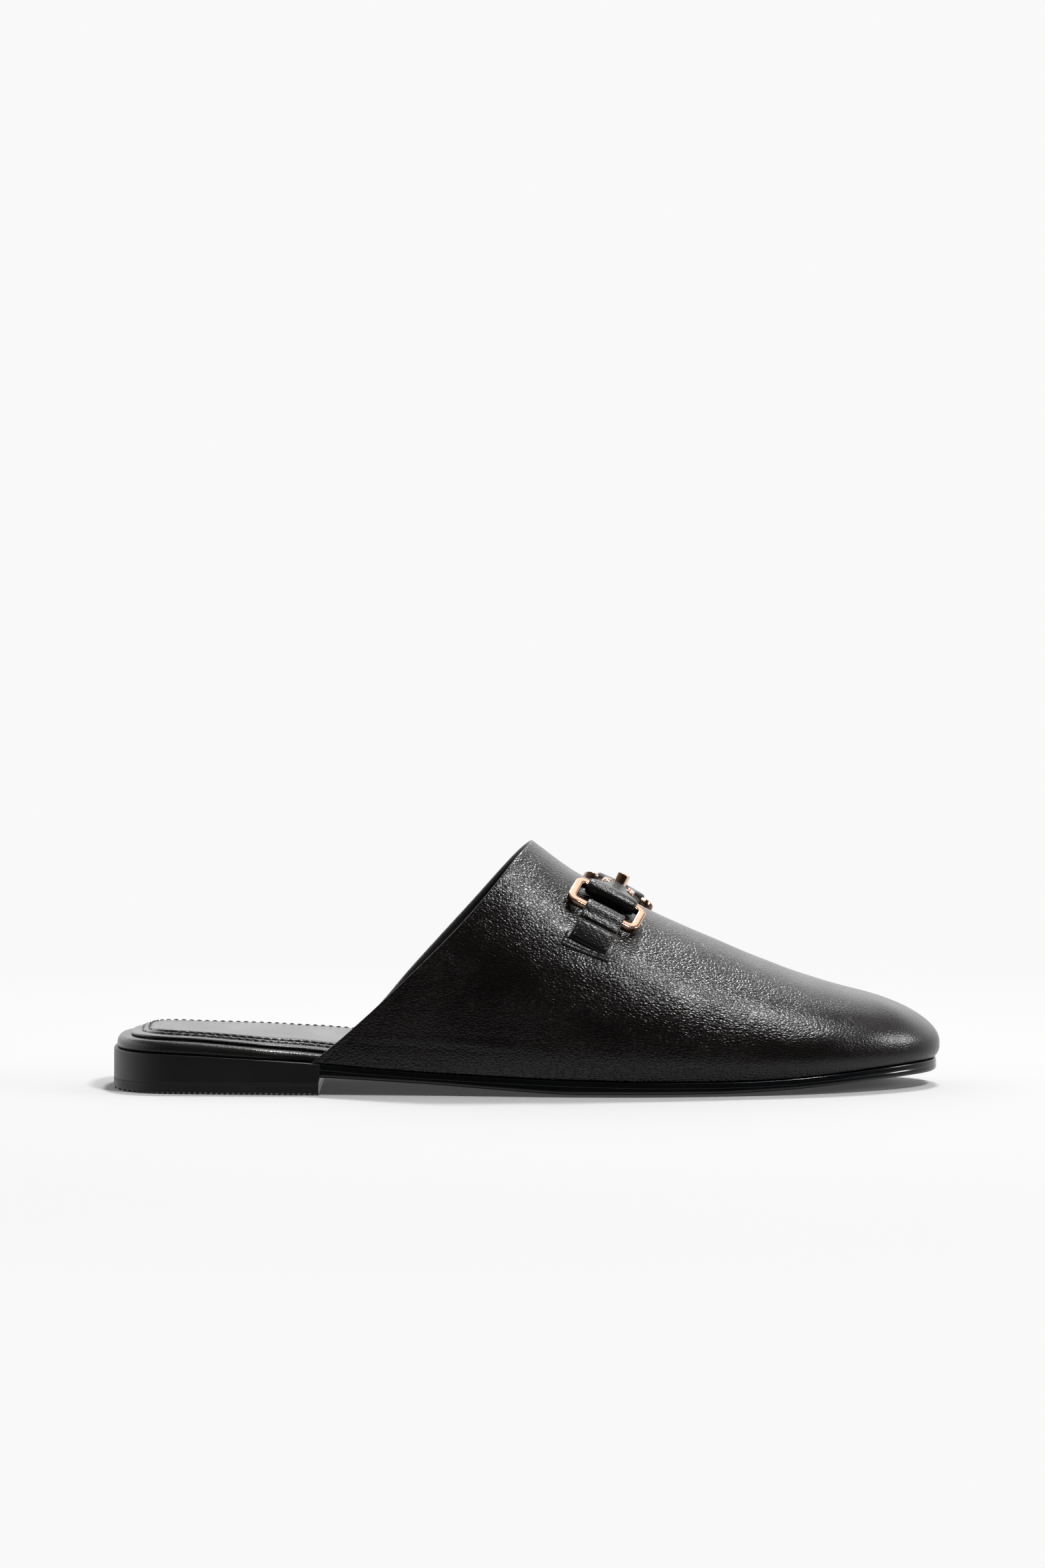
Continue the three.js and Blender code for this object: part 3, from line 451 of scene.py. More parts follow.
class Net:
    """Short names for the nodes that the materials are made of."""

    def __init__(self, nt):
        self.nt = nt
        self.coord = nt.nodes.new("ShaderNodeTexCoord").outputs["Object"]

    def link(self, a, b):
        self.nt.links.new(a, b)

    def put(self, node, key, value):
        if hasattr(value, "is_output"):
            self.link(value, node.inputs[key])
        elif value is not None:
            node.inputs[key].default_value = value

    def scaled(self, sx, sy, sz, turn=(0, 0, 0), source=None):
        n = self.nt.nodes.new("ShaderNodeMapping")
        self.link(source or self.coord, n.inputs[0])
        n.inputs["Rotation"].default_value = turn
        n.inputs["Scale"].default_value = (sx, sy, sz)
        return n.outputs[0]

    def noise(self, vector, scale, detail=2.0, rough=0.5, distortion=0.0):
        n = self.nt.nodes.new("ShaderNodeTexNoise")
        self.link(vector, n.inputs["Vector"])
        n.inputs["Scale"].default_value = scale
        n.inputs["Detail"].default_value = detail
        n.inputs["Roughness"].default_value = rough
        n.inputs["Distortion"].default_value = distortion
        return n

    def cells(self, vector, scale, feature="F1", randomness=1.0, smoothness=None):
        n = self.nt.nodes.new("ShaderNodeTexVoronoi")
        n.feature = feature
        self.link(vector, n.inputs["Vector"])
        n.inputs["Scale"].default_value = scale
        n.inputs["Randomness"].default_value = randomness
        if smoothness is not None:
            n.inputs["Smoothness"].default_value = smoothness
        return n.outputs["Distance"]

    def wave(self, vector, scale, kind="SIN", direction="X"):
        n = self.nt.nodes.new("ShaderNodeTexWave")
        n.wave_type, n.bands_direction, n.wave_profile = "BANDS", direction, kind
        self.link(vector, n.inputs["Vector"])
        n.inputs["Scale"].default_value = scale
        return n.outputs["Fac"]

    def math(self, op, a, b=None, c=None, clamp=False):
        n = self.nt.nodes.new("ShaderNodeMath")
        n.operation, n.use_clamp = op, clamp
        for i, v in enumerate((a, b, c)):
            if v is not None:
                self.put(n, i, v)
        return n.outputs[0]

    def range(self, v, a, b, c=0.0, d=1.0, soft=False):
        n = self.nt.nodes.new("ShaderNodeMapRange")
        n.clamp = True
        n.interpolation_type = "SMOOTHSTEP" if soft else "LINEAR"
        self.link(v, n.inputs["Value"])
        for k, x in zip(("From Min", "From Max", "To Min", "To Max"), (a, b, c, d)):
            n.inputs[k].default_value = x
        return n.outputs["Result"]

    def mix(self, f, a, b):
        n = self.nt.nodes.new("ShaderNodeMix")
        n.data_type = "RGBA"
        if hasattr(f, "is_output"):
            self.link(f, n.inputs[0])
        else:
            n.inputs[0].default_value = f
        for i, v in ((6, a), (7, b)):
            if hasattr(v, "is_output"):
                self.link(v, n.inputs[i])
            else:
                n.inputs[i].default_value = (*v, 1)
        return n.outputs[2]

    def bump(self, height, strength, distance, normal=None):
        n = self.nt.nodes.new("ShaderNodeBump")
        self.link(height, n.inputs["Height"])
        n.inputs["Strength"].default_value = strength
        n.inputs["Distance"].default_value = distance
        if normal is not None:
            self.link(normal, n.inputs["Normal"])
        return n.outputs[0]

    def moved(self, vector, other, amount):
        """vector pushed about by a colour texture."""
        a = self.nt.nodes.new("ShaderNodeVectorMath")
        a.operation = "SUBTRACT"
        self.link(other, a.inputs[0])
        a.inputs[1].default_value = (0.5, 0.5, 0.5)
        b = self.nt.nodes.new("ShaderNodeVectorMath")
        b.operation = "SCALE"
        self.link(a.outputs[0], b.inputs[0])
        b.inputs["Scale"].default_value = amount
        c = self.nt.nodes.new("ShaderNodeVectorMath")
        c.operation = "ADD"
        self.link(vector, c.inputs[0])
        self.link(b.outputs[0], c.inputs[1])
        return c.outputs[0]


def leather(name, dark, light, rough=(0.40, 0.50), cell=0.95, stretch=(0.8, 1.0, 1.15), relief=0.055, fine=0.012, coat=0.0, coat_rough=0.3,
            spec=0.5, line=0.35, sheen=0.0, calm=None):
    """Grained leather: pebbles of `cell` mm with creases between them, then finer pores. calm: where the
    leather is pulled smooth, from x, to x, share of the grain that is left."""
    m, nt, b = nodes_of(name)
    k = Net(nt)
    base = k.scaled(*stretch)
    warp = k.noise(base, 420, 2.0).outputs["Color"]
    v = k.moved(base, warp, 0.0011)
    pebble = k.cells(v, 1000 / cell, "SMOOTH_F1", 1.0, 0.35)
    valley = k.cells(v, 1000 / cell, "DISTANCE_TO_EDGE")
    small = k.cells(k.moved(base, warp, 0.0006), 1000 / cell * 2.3, "SMOOTH_F1", 1.0, 0.4)
    pores = k.noise(base, 5200, 3.0, 0.6).outputs["Fac"]
    patch = k.noise(base, 55, 3.0, 0.55).outputs["Fac"]
    hump = k.math("SUBTRACT", 1.0, k.range(pebble, 0.0, 0.85, 0.0, 1.0))
    groove = k.range(valley, 0.0, line * 0.8, 0.0, 1.0, soft=True)
    height = k.math("ADD", k.math("MULTIPLY", hump, 0.55), k.math("MULTIPLY", groove, 0.45))
    height = k.math("ADD", height, k.math("MULTIPLY", k.math("SUBTRACT", 1.0, small), 0.28))
    # the grain is stronger in some patches than in others
    strength = k.range(patch, 0.3, 0.7, 0.65, 1.15)
    height = k.math("MULTIPLY", height, strength)
    if calm:
        along = nt.nodes.new("ShaderNodeSeparateXYZ")
        nt.links.new(k.coord, along.inputs[0])
        height = k.math("MULTIPLY", height, k.range(along.outputs["X"], calm[0], calm[1], 1.0, calm[2]))
    n1 = k.bump(height, 1.0, relief / 1000.0)
    n2 = k.bump(pores, 1.0, fine / 1000.0, n1)
    nt.links.new(n2, b.inputs["Normal"])
    # the colour varies at random in patches, and darkens in the creases between pebbles as painted shade
    tone_and_crease_shade = k.math("MULTIPLY", k.range(patch, 0.25, 0.75), k.range(valley, 0.0, 0.12, 0.35, 1.0))
    nt.links.new(k.mix(tone_and_crease_shade, dark, light), b.inputs["Base Color"])
    nt.links.new(k.math("ADD", k.range(patch, 0.3, 0.7, rough[0], rough[1]), k.range(valley, 0.0, 0.1, 0.08, 0.0)), b.inputs["Roughness"])
    b.inputs["Specular IOR Level"].default_value = spec
    b.inputs["Coat Weight"].default_value = coat
    b.inputs["Coat Roughness"].default_value = coat_rough
    b.inputs["Sheen Weight"].default_value = sheen
    return m


def moulded(name, dark, light, rough=(0.3, 0.4), fine=0.01, scale=1800.0, coat=0.0, coat_rough=0.15, spec=0.5, streak=0.0, ribs=None):
    """Moulded rubber, with the fine tooth and the faint streaks that a trimmed edge has."""
    m, nt, b = nodes_of(name)
    k = Net(nt)
    tooth = k.noise(k.coord, scale, 3.0, 0.55).outputs["Fac"]
    patch = k.noise(k.coord, 70, 3.0, 0.6).outputs["Fac"]
    n1 = k.bump(tooth, 1.0, fine / 1000.0)
    if streak:
        lines = k.noise(k.scaled(0.12, 0.12, 3.0), 900, 2.0, 0.5).outputs["Fac"]
        n1 = k.bump(lines, 1.0, streak / 1000.0, n1)
    nt.links.new(n1, b.inputs["Normal"])
    nt.links.new(k.mix(k.range(patch, 0.25, 0.75), dark, light), b.inputs["Base Color"])
    nt.links.new(k.range(patch, 0.3, 0.7, rough[0], rough[1]), b.inputs["Roughness"])
    b.inputs["Specular IOR Level"].default_value = spec
    b.inputs["Coat Weight"].default_value = coat
    b.inputs["Coat Roughness"].default_value = coat_rough
    return m


def plated(name, base, tint, rough=(0.10, 0.17)):
    """Polished plating with faint handling marks."""
    m, nt, b = nodes_of(name)
    k = Net(nt)
    patch = k.noise(k.coord, 260, 3.0, 0.6).outputs["Fac"]
    marks = k.noise(k.scaled(1.0, 0.15, 1.0, (0.3, 0.5, 0.9)), 3500, 2.0, 0.6).outputs["Fac"]
    nt.links.new(k.mix(k.range(patch, 0.3, 0.7), base, tint), b.inputs["Base Color"])
    nt.links.new(k.range(patch, 0.35, 0.7, rough[0], rough[1]), b.inputs["Roughness"])
    n1 = k.bump(k.noise(k.coord, 900, 2.0).outputs["Fac"], 1.0, 0.0035 / 1000.0)
    nt.links.new(k.bump(marks, 1.0, 0.0012 / 1000.0, n1), b.inputs["Normal"])
    b.inputs["Metallic"].default_value = 1.0
    return m


def thread(name, dark, light, rough=0.55):
    """Twisted thread."""
    m, nt, b = nodes_of(name)
    k = Net(nt)
    twist_ = k.wave(k.scaled(1, 1, 1, (0.4, 0.3, 0.7)), 700, "SIN", "DIAGONAL")
    fuzz = k.noise(k.coord, 6000, 2.0).outputs["Fac"]
    # the colour follows the twist, lighter on the plies and darker in the grooves between them, as painted shade, and
    # is dimmed at random by the fuzz
    nt.links.new(k.mix(k.math("MULTIPLY", twist_, fuzz), dark, light), b.inputs["Base Color"])
    nt.links.new(k.bump(twist_, 1.0, 0.03 / 1000.0), b.inputs["Normal"])
    b.inputs["Roughness"].default_value = rough
    return m


UPPER = leather("upper_leather", (0.0024, 0.0014, 0.0012), (0.0050, 0.0031, 0.0027), rough=(0.23, 0.29), cell=0.95, relief=0.115, fine=0.015,
                calm=(0.060, 0.105, 0.40))
WRAP = leather("wrap_leather", (0.0048, 0.0043, 0.0040), (0.0085, 0.0077, 0.0072), rough=(0.24, 0.31), cell=0.8, relief=0.03, fine=0.012)
SOCK = leather("sock_leather", (0.0040, 0.0041, 0.0042), (0.0075, 0.0076, 0.0078), rough=(0.20, 0.27), cell=0.55, stretch=(1.3, 0.8, 1.0), relief=0.016,
               fine=0.006)
LINING = leather("lining_leather", (0.005, 0.0048, 0.0046), (0.008, 0.0078, 0.0075), rough=(0.5, 0.6), cell=0.6, relief=0.015, fine=0.008)
STRAP_SKIN = leather("strap_leather", (0.0016, 0.0013, 0.0012), (0.0032, 0.0027, 0.0025), rough=(0.27, 0.34), cell=0.85, relief=0.06, fine=0.014)
CUT = leather("cut_edge", (0.035, 0.029, 0.026), (0.10, 0.085, 0.076), rough=(0.6, 0.75), cell=0.3, relief=0.03, fine=0.02)
SOLE = moulded("sole_edge", (0.0018, 0.0021, 0.0025), (0.0030, 0.0034, 0.0040), rough=(0.13, 0.20), fine=0.004, streak=0.003)
HEEL = moulded("heel_block", (0.0022, 0.0024, 0.0027), (0.0036, 0.0038, 0.0042), rough=(0.42, 0.5), fine=0.012, scale=2400, streak=0.006)
LIFT = moulded("top_lift", (0.0026, 0.0028, 0.0031), (0.0040, 0.0042, 0.0046), rough=(0.5, 0.62), fine=0.02, scale=2600)
TREAD = moulded("tread", (0.009, 0.0093, 0.0098), (0.015, 0.0153, 0.016), rough=(0.55, 0.7), fine=0.02, scale=2600)
METAL = plated("rose_plating", (0.60, 0.37, 0.26), (0.66, 0.42, 0.30), rough=(0.09, 0.14))
# darker plating for the rings' upright faces: painted shade, standing in for the dark surroundings they reflect
METAL_PAINTED_SHADE = plated("rose_plating_painted_shade", (0.17, 0.10, 0.070), (0.26, 0.16, 0.115), rough=(0.10, 0.16))
THREAD = thread("black_thread", (0.007, 0.007, 0.007), (0.030, 0.029, 0.028), rough=0.42)
TAB_THREAD = thread("tab_thread", (0.022, 0.020, 0.019), (0.075, 0.068, 0.064), rough=0.42)


# ------------------------------------------------------------------ sole unit and top lift
def ring_points(side, s, rows):
    """Points of an edge from (out, z) rows, z worked out by the row at the moved point."""
    out = []
    for o, zf in rows:
        x, y = edge(side, s, o)
        out.append([float(x), float(y), float(zf(float(x), float(y)))])
    return np.array(out)


def z_seam(drop):
    return lambda x, y: seam(np.clip(x, 0, SOLE_LENGTH)) - drop


def z_under(rise):
    return lambda x, y: under(np.clip(x, 0, SOLE_LENGTH)) + rise


def z_flat(z):
    return lambda x, y: z


TOP_RIM = [(-0.62, z_seam(0.0)), (-0.34, z_seam(0.0)), (-0.16, z_seam(0.04)), (-0.05, z_seam(0.14)), (0.0, z_seam(0.30)), (0.02, z_seam(0.62))]
FORE_RIM = TOP_RIM + [(0.03, z_seam(1.3)), (0.05, z_seam(1.62)), (-0.02, z_seam(1.72)), (-0.02, z_seam(1.80)), (0.06, z_seam(1.92)),
                      (0.06, z_under(1.85)), (0.0, z_under(1.35)), (-0.22, z_under(0.95)), (-0.7, z_under(0.72)), (-2.4, z_under(0.60)),
                      (-5.5, z_under(0.28)), (-9.0, z_under(0.0))]
HEEL_RIM = TOP_RIM + [(0.04, z_seam(1.3)), (0.05, z_seam(1.62)), (0.055, z_seam(1.9)), (0.06, z_seam(2.3)), (0.065, z_seam(2.8)),
                      (0.08, z_flat(6.0)), (0.09, z_flat(4.4)), (0.09, z_flat(3.9)), (0.08, z_flat(3.52)), (0.03, z_flat(3.43)),
                      (-0.3, z_flat(3.4)), (-3.0, z_flat(3.4))]
BREAST = HEEL_LENGTH + 0.4
flat_ribs = 1.75


def tread(x, y, share):
    """Shallow cross ribs under the forefoot."""
    t = (x / flat_ribs) % 1.0
    cut = 1.0 if t > 0.5 else 0.0
    inside = smooth((min(share, 1 - share) - 0.10) / 0.04) * smooth((x - 128) / 3) * (1 - smooth((x - 238) / 4))
    return 0.35 * cut * float(inside)


def sole_unit():
    heel = spread(0, HEEL_LENGTH, 96, round_a=True)
    base = spread(BREAST, SOLE_LENGTH, 200, round_b=True)
    k = np.arange(math.ceil(126 / flat_ribs), math.floor(242 / flat_ribs)) * flat_ribs
    ribs = np.concatenate([k - 0.04, k + 0.04, k + flat_ribs / 2 - 0.04, k + flat_ribs / 2 + 0.04])
    fore = np.unique(np.round(np.concatenate([base, ribs]), 4))
    fore = fore[np.concatenate([[True], np.diff(fore) > 0.03])]
    stations = list(heel) + list(fore)
    return plate("sole_unit", stations, lambda side, s: ring_points(side, s, HEEL_RIM if s <= HEEL_LENGTH + 1e-6 else FORE_RIM),
                 14, bottom=lambda x, y, f: tread(x, y, f) if x > 100 else 0.0, mats=(SOLE, HEEL, TREAD), sharp=38)


sole = sole_unit()
# heel block, edge and walking face each take their own finish
idx = []
for p in sole.data.polygons:
    c = p.center * 1000
    x = c.x - OFFSET[0]
    if p.normal.z < -0.72 or (x > BREAST + 1 and c.z < float(under(x)) + 0.5):
        idx.append(2)
    elif x <= BREAST + 0.3:
        idx.append(1)
    else:
        idx.append(0)
sole.data.polygons.foreach_set("material_index", np.array(idx, np.int32))
sole.data.materials[1] = HEEL
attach(sole, "root")
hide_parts("outsole")

NOTCH = 1.72
LIFT_RIM = [(-0.5, z_flat(LIFT_HEIGHT - 0.06)), (-0.1, z_flat(LIFT_HEIGHT - 0.06)), (0.06, z_flat(LIFT_HEIGHT - 0.09)), (0.12, z_flat(LIFT_HEIGHT - 0.2)),
            (0.14, z_flat(2.2)), (0.15, z_flat(1.3)), (0.15, z_flat(0.72)), (0.12, z_flat(0.32)), (0.0, z_flat(0.1)), (-0.2, z_flat(0.0)), (-0.8, z_flat(0.0)),
            (-3.0, z_flat(0.0))]


def heel_lift():
    base = spread(0, HEEL_LENGTH, 70, round_a=True)
    k = np.arange(0, math.floor(HEEL_LENGTH / NOTCH)) * NOTCH + 0.9
    cuts = np.concatenate([k - 0.03, k + 0.03, k + 0.72 - 0.03, k + 0.72 + 0.03])
    st = np.unique(np.round(np.concatenate([base, cuts[cuts < HEEL_LENGTH - 0.2]]), 4))
    st = st[np.concatenate([[True], np.diff(st) > 0.02])]

    def in_cut(x):
        return 0.0 < ((x - 0.9) % NOTCH) < 0.72 and 0.9 < x < HEEL_LENGTH - 0.6

    def ring(side, s):
        p = ring_points(side, s, LIFT_RIM)
        if in_cut(s):
            for i, r in ((7, 0.36), (8, 0.52), (9, 0.58), (10, 0.58), (11, 0.58)):
                p[i, 2] += r
                if i < 9:
                    p[i, 1] -= side * 0.10
        return p
    return plate("top_lift", list(st), ring, 3, mats=(LIFT,), sharp=40)


lift = heel_lift()
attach(lift, "root")
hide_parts("heel_lift")


# ------------------------------------------------------------------ wrapped footbed
WRAP_RIM = [(-3.4, 1.0), (-2.6, .998), (-1.95, .98), (-1.4, .945), (-.95, .885), (-.6, .80), (-.32, .69), (-.13, .56), (-.02, .42), (0, .30), (-.05, .19),
            (-.17, .09), (-.36, .03), (-.62, 0)]


def ripple(x, y, seed):
    """Low, even unevenness of leather pulled round an edge."""
    return (math.sin(x * 0.83 + seed) * math.sin(y * 0.71 + 1.3 * seed) * 0.5 + math.sin(x * 0.31 + y * 0.47 + seed * 2.1) * 0.5)


def footbed():
    def ring(side, s):
        deep = float(inset(s))
        out = []
        for o, share in WRAP_RIM:
            x, y = edge(side, s, o - deep)
            x, y = float(x), float(y)
            low, top = float(seam(np.clip(x, 0, SOLE_LENGTH))) + GAP * 0.6, float(bed_top(x, y))
            z = lerp(low, top, share)
            if 0.05 < share < 0.97:
                z += 0.035 * ripple(x * 1.6, y * 1.6, 0.7)
            out.append([x, y, z])
        return np.array(out)
    return plate("wrapped_footbed", list(spread(0, SOLE_LENGTH, 300, True, True)), ring, 6, mats=(WRAP,))


bed = footbed()
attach(bed, "root")
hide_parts("footbed")


# ------------------------------------------------------------------ padded sock lining
# out from the sock's edge, height on the outer side, height on the inner side
SOCK_RIM = [(-9.2, 2.54, 2.52), (-8.2, 2.50, 2.52), (-7.2, 2.42, 2.51), (-6.7, 2.34, 2.49), (-6.25, 2.20, 2.46), (-6.05, 2.00, 2.40), (-5.92, 1.62, 2.22),
            (-5.8, 1.48, 2.14), (-5.65, 1.50, 2.14), (-5.4, 1.66, 2.24), (-5.0, 1.74, 2.24), (-4.6, 1.72, 2.16), (-4.15, 1.62, 2.02), (-3.97, 1.45, 1.92),
            (-3.85, 1.10, 1.72), (-3.72, .98, 1.62), (-3.55, 1.00, 1.60), (-3.3, 1.12, 1.62), (-2.7, 1.15, 1.50), (-2.0, 1.08, 1.32), (-1.2, .95, 1.08),
            (-.6, .84, .88), (-.25, .74, .74), (-.06, .58, .58), (0, .42, .42), (0, .2, .2), (-.1, 0, 0)]


def sock_point(side, s, out, lat, med):
    deep = float(inset(s)) + SOCK_INSET - 0.6 * float(np.clip((s - 60) / 20, 0, 1))
    x, y = edge(side, s, out - deep)
    x, y = float(x), float(y)
    f = float(smooth((y - float(centre(s))) / max(float(half(s)), 3.0) * 0.9 + 0.5))
    return x, y, float(bed_top(x, y)) + GAP + lerp(lat, med, f)


def sock():
    def ring(side, s):
        out = []
        for o, lat, med in SOCK_RIM:
            x, y, z = sock_point(side, s, o, lat, med)
            # stitches draw the leather in a little at each hole
            if -6.3 < o < -5.5 or -4.2 < o < -3.4:
                z += 0.12 * math.sin(2 * math.pi * (x + 0.6 * y) / 2.5)
            elif o < -0.8:
                z += 0.03 * ripple(x, y, 1.9)
            out.append([x, y, z])
        return np.array(out)

    def crown(x, y, f):
        return 0.16 * math.sin(math.pi * f) ** 0.8 + 0.05 * ripple(x * 0.5, y * 0.5, 0.4) * math.sin(math.pi * f)
    return plate("padded_sock", list(spread(0, SOLE_LENGTH, 380, True, True)), ring, 16, top=crown, mats=(SOCK,))


pad = sock()
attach(pad, "root")
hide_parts("sock_pad")


def sock_line(out, lat, med, until=112):
    """A stitch line round the heel, from the outer side to the inner."""
    a = [sock_point(-1, s, out, lat, med) for s in np.linspace(until, 0.02, 300) ** 1.0]
    b = [sock_point(1, s, out, lat, med) for s in np.linspace(0.02, until, 300)]
    pts = np.array(a + b)
    keep = np.concatenate([[True], np.linalg.norm(np.diff(pts, axis=0), axis=1) > 1e-4])
    return pts[keep]


rows = []
for out, lat, med in ((-5.76, 1.66, 2.56), (-3.70, 1.14, 1.84)):
    line = sock_line(out, lat, med)
    rows.append(stitch_run(line, np.tile([0, 0, 1.0], (len(line), 1)), 2.5, 1.75, 0.30, sink=0.05, tilt=0.12))
pts, faces = join(rows)
sock_thread = make("sock_stitches", pts, faces, (THREAD,))
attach(sock_thread, "root")


# ------------------------------------------------------------------ upper
# soft troughs and ridges: station, girth share, length, width, turn, height (mm)
FOLDS = [
    (146, .262, 9, .016, 0.25, -0.22), (152, .236, 10, .018, 0.1, 0.16), (139, .285, 7, .016, 0.5, 0.12), (160, .250, 8, .014, -0.3, -0.14),
    (150, .160, 34, .030, 0.03, -0.16), (118, .120, 26, .020, 0.02, -0.12), (98, .080, 20, .014, 0.03, -0.14), (108, .098, 22, .012, 0.02, 0.10),
    (176, .330, 26, .030, -0.12, -0.10), (196, .250, 24, .030, 0.05, 0.10), (214, .200, 18, .030, 0.1, -0.10),
    (228, .235, 12, .030, 0.25, -0.14), (184, .700, 26, .030, 0.1, -0.16), (150, .840, 30, .022, 0.02, -0.14), (205, .620, 20, .030, -0.1, 0.10),
    (146, .738, 9, .016, -0.25, -0.22), (152, .764, 10, .018, -0.1, 0.16),
]


def folds(s, v):
    h = np.zeros(np.broadcast(s, v).shape)
    for at, girth, length, width, turn, high in FOLDS:
        a, b = (s - at), (v - girth) * 140
        x, y = a * math.cos(turn) + b * math.sin(turn), -a * math.sin(turn) + b * math.cos(turn)
        h = h + high * np.exp(-(x / length) ** 2 - (y / (width * 140)) ** 2)
    # the slow unevenness that a lasted vamp keeps
    h = h + 0.05 * np.sin(s * 0.16 + 9 * v) * np.sin(s * 0.07 - 13 * v + 1.1) + 0.03 * np.sin(s * 0.41 + 21 * v)
    fade = smooth(v / 0.06) * smooth((1 - v) / 0.06) * smooth((SOLE_LENGTH - s) / 10)
    return h * fade


GIRTH, LENGTH_ = 230, 240


def shell(lift, girth, length, start, bend):
    t = np.linspace(0, 1, girth + 1)
    v = np.clip(t + 0.018 * np.sin(4 * np.pi * t), 0, 1)
    begin = mouth_at(v, lift) + start
    u = np.linspace(0, 1, length + 1)
    f = 0.5 * u + 0.5 * np.sin(np.pi * u / 2)
    s = begin[:, None] + (SOLE_LENGTH - begin[:, None]) * f[None, :]
    vv = np.repeat(v[:, None], length + 1, 1)
    extra = folds(s, vv)
    # the folded edge: a shallow pressed line a little way in from the mouth
    along = s - (begin[:, None] - start)
    if bend:
        extra = extra - 0.10 * np.exp(-((along - 2.6) / 0.55) ** 2) + 0.05 * np.exp(-((along - 1.5) / 0.8) ** 2)
    return s, vv, last(s, vv, lift + extra)


def upper():
    s0, v0, outer = shell(0.0, GIRTH, LENGTH_, 0.85, True)
    _, _, inner = shell(-WALL, GIRTH, 90, 0.85, False)
    for j in (0, GIRTH):
        inner[j, :, 2] = seam(np.clip(inner[j, :, 0], 0, SOLE_LENGTH)) + GAP
    a, b = outer[:, 0], inner[:, 0]
    t = outer[:, 0] - outer[:, 2]
    t /= np.linalg.norm(t, axis=1)[:, None]
    c, n = (a + b) / 2, (a - b) / 2
    roll = []
    for q in np.linspace(0, np.pi, 12)[1:-1]:
        roll.append(c + n * np.cos(q) + t * 0.85 * np.sin(q))
    roll = np.stack(roll, 1)                     # from the outer face to the inner
    rows = np.concatenate([outer[:, ::-1], roll, inner], 1)
    rows[0, :, 2] = np.maximum(rows[0, :, 2], seam(np.clip(rows[0, :, 0], 0, SOLE_LENGTH)) + GAP * 0.6)
    rows[-1, :, 2] = np.maximum(rows[-1, :, 2], seam(np.clip(rows[-1, :, 0], 0, SOLE_LENGTH)) + GAP * 0.6)
    m = rows.shape[1]
    pts = rows.reshape(-1, 3)
    faces = grid_faces(GIRTH + 1, m)
    mat = []
    for j in range(GIRTH):
        for i in range(m - 1):
            mat.append(0 if i < LENGTH_ + 7 else 1)
    # the foot, between the outer and inner face on each side
    k_in = LENGTH_ + 1 + roll.shape[1]
    inner_n = inner.shape[1]
    for j in (0, GIRTH):
        base = j * m
        o = [base + LENGTH_ - i for i in range(LENGTH_ + 1)]          # outer, mouth to toe
        g = [base + k_in + i for i in range(inner_n)]                 # inner, mouth to toe
        mouth_loop = [base + LENGTH_ + 1 + i for i in range(roll.shape[1])]
        # strips matched by station
        fo = outer[j, :, 0]
        gi = inner[j, :, 0]
        ia = ib = 0
        while ia < len(o) - 1 or ib < len(g) - 1:
            if ib >= len(g) - 1 or (ia < len(o) - 1 and fo[ia + 1] <= gi[min(ib + 1, len(g) - 1)]):
                f = (o[ia], o[ia + 1], g[ib])
                ia += 1
            else:
                f = (o[ia], g[ib + 1], g[ib])
                ib += 1
            faces.append(f)
            mat.append(1)
        faces.append(tuple([o[0]] + mouth_loop + [g[0]]))
        mat.append(0)
    return make("upper_shell", pts, faces, (UPPER, LINING), mat, merge=0.002)


shell_ob = upper()
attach(shell_ob, "root")
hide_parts("upper")


# ------------------------------------------------------------------ trim
RING_L, RING_BAR, RING_THICK, RING_CORNER, RING_UP, RING_LOW = 24.6, 2.6, 2.4, 3.5, 15.6, 26.0
LINK_L, LINK_BAR, LINK_REACH, LINK_LIFT = 11.0, 1.6, 4.3, 2.25
TAB_SHIFT = 0.8
ROLL_T = RING_THICK + 2 * (GAP + 0.9)


def outward(loop):
    """Unit normals of a closed loop of (girth, height) points, pointing out of it."""
    t = np.roll(loop, -1, 0) - np.roll(loop, 1, 0)
    n = np.stack([t[:, 1], -t[:, 0]], 1)
    n /= np.maximum(np.hypot(n[:, 0], n[:, 1]), 1e-9)[:, None]
    area = np.sum(loop[:, 0] * np.roll(loop[:, 1], -1) - np.roll(loop[:, 0], -1) * loop[:, 1])
    return n if area > 0 else -n


def even(loop, count, corner=None):
    """The same closed loop with evenly spaced points."""
    p = np.vstack([loop, loop[:1]])
    d = np.concatenate([[0], np.cumsum(np.hypot(*np.diff(p, axis=0).T))])
    u = np.linspace(0, d[-1], count, endpoint=False)
    return np.stack([np.interp(u, d, p[:, 0]), np.interp(u, d, p[:, 1])], 1)


def soften(loop, times):
    for _ in range(times):
        loop = 0.25 * np.roll(loop, 1, 0) + 0.5 * loop + 0.25 * np.roll(loop, -1, 0)
    return loop


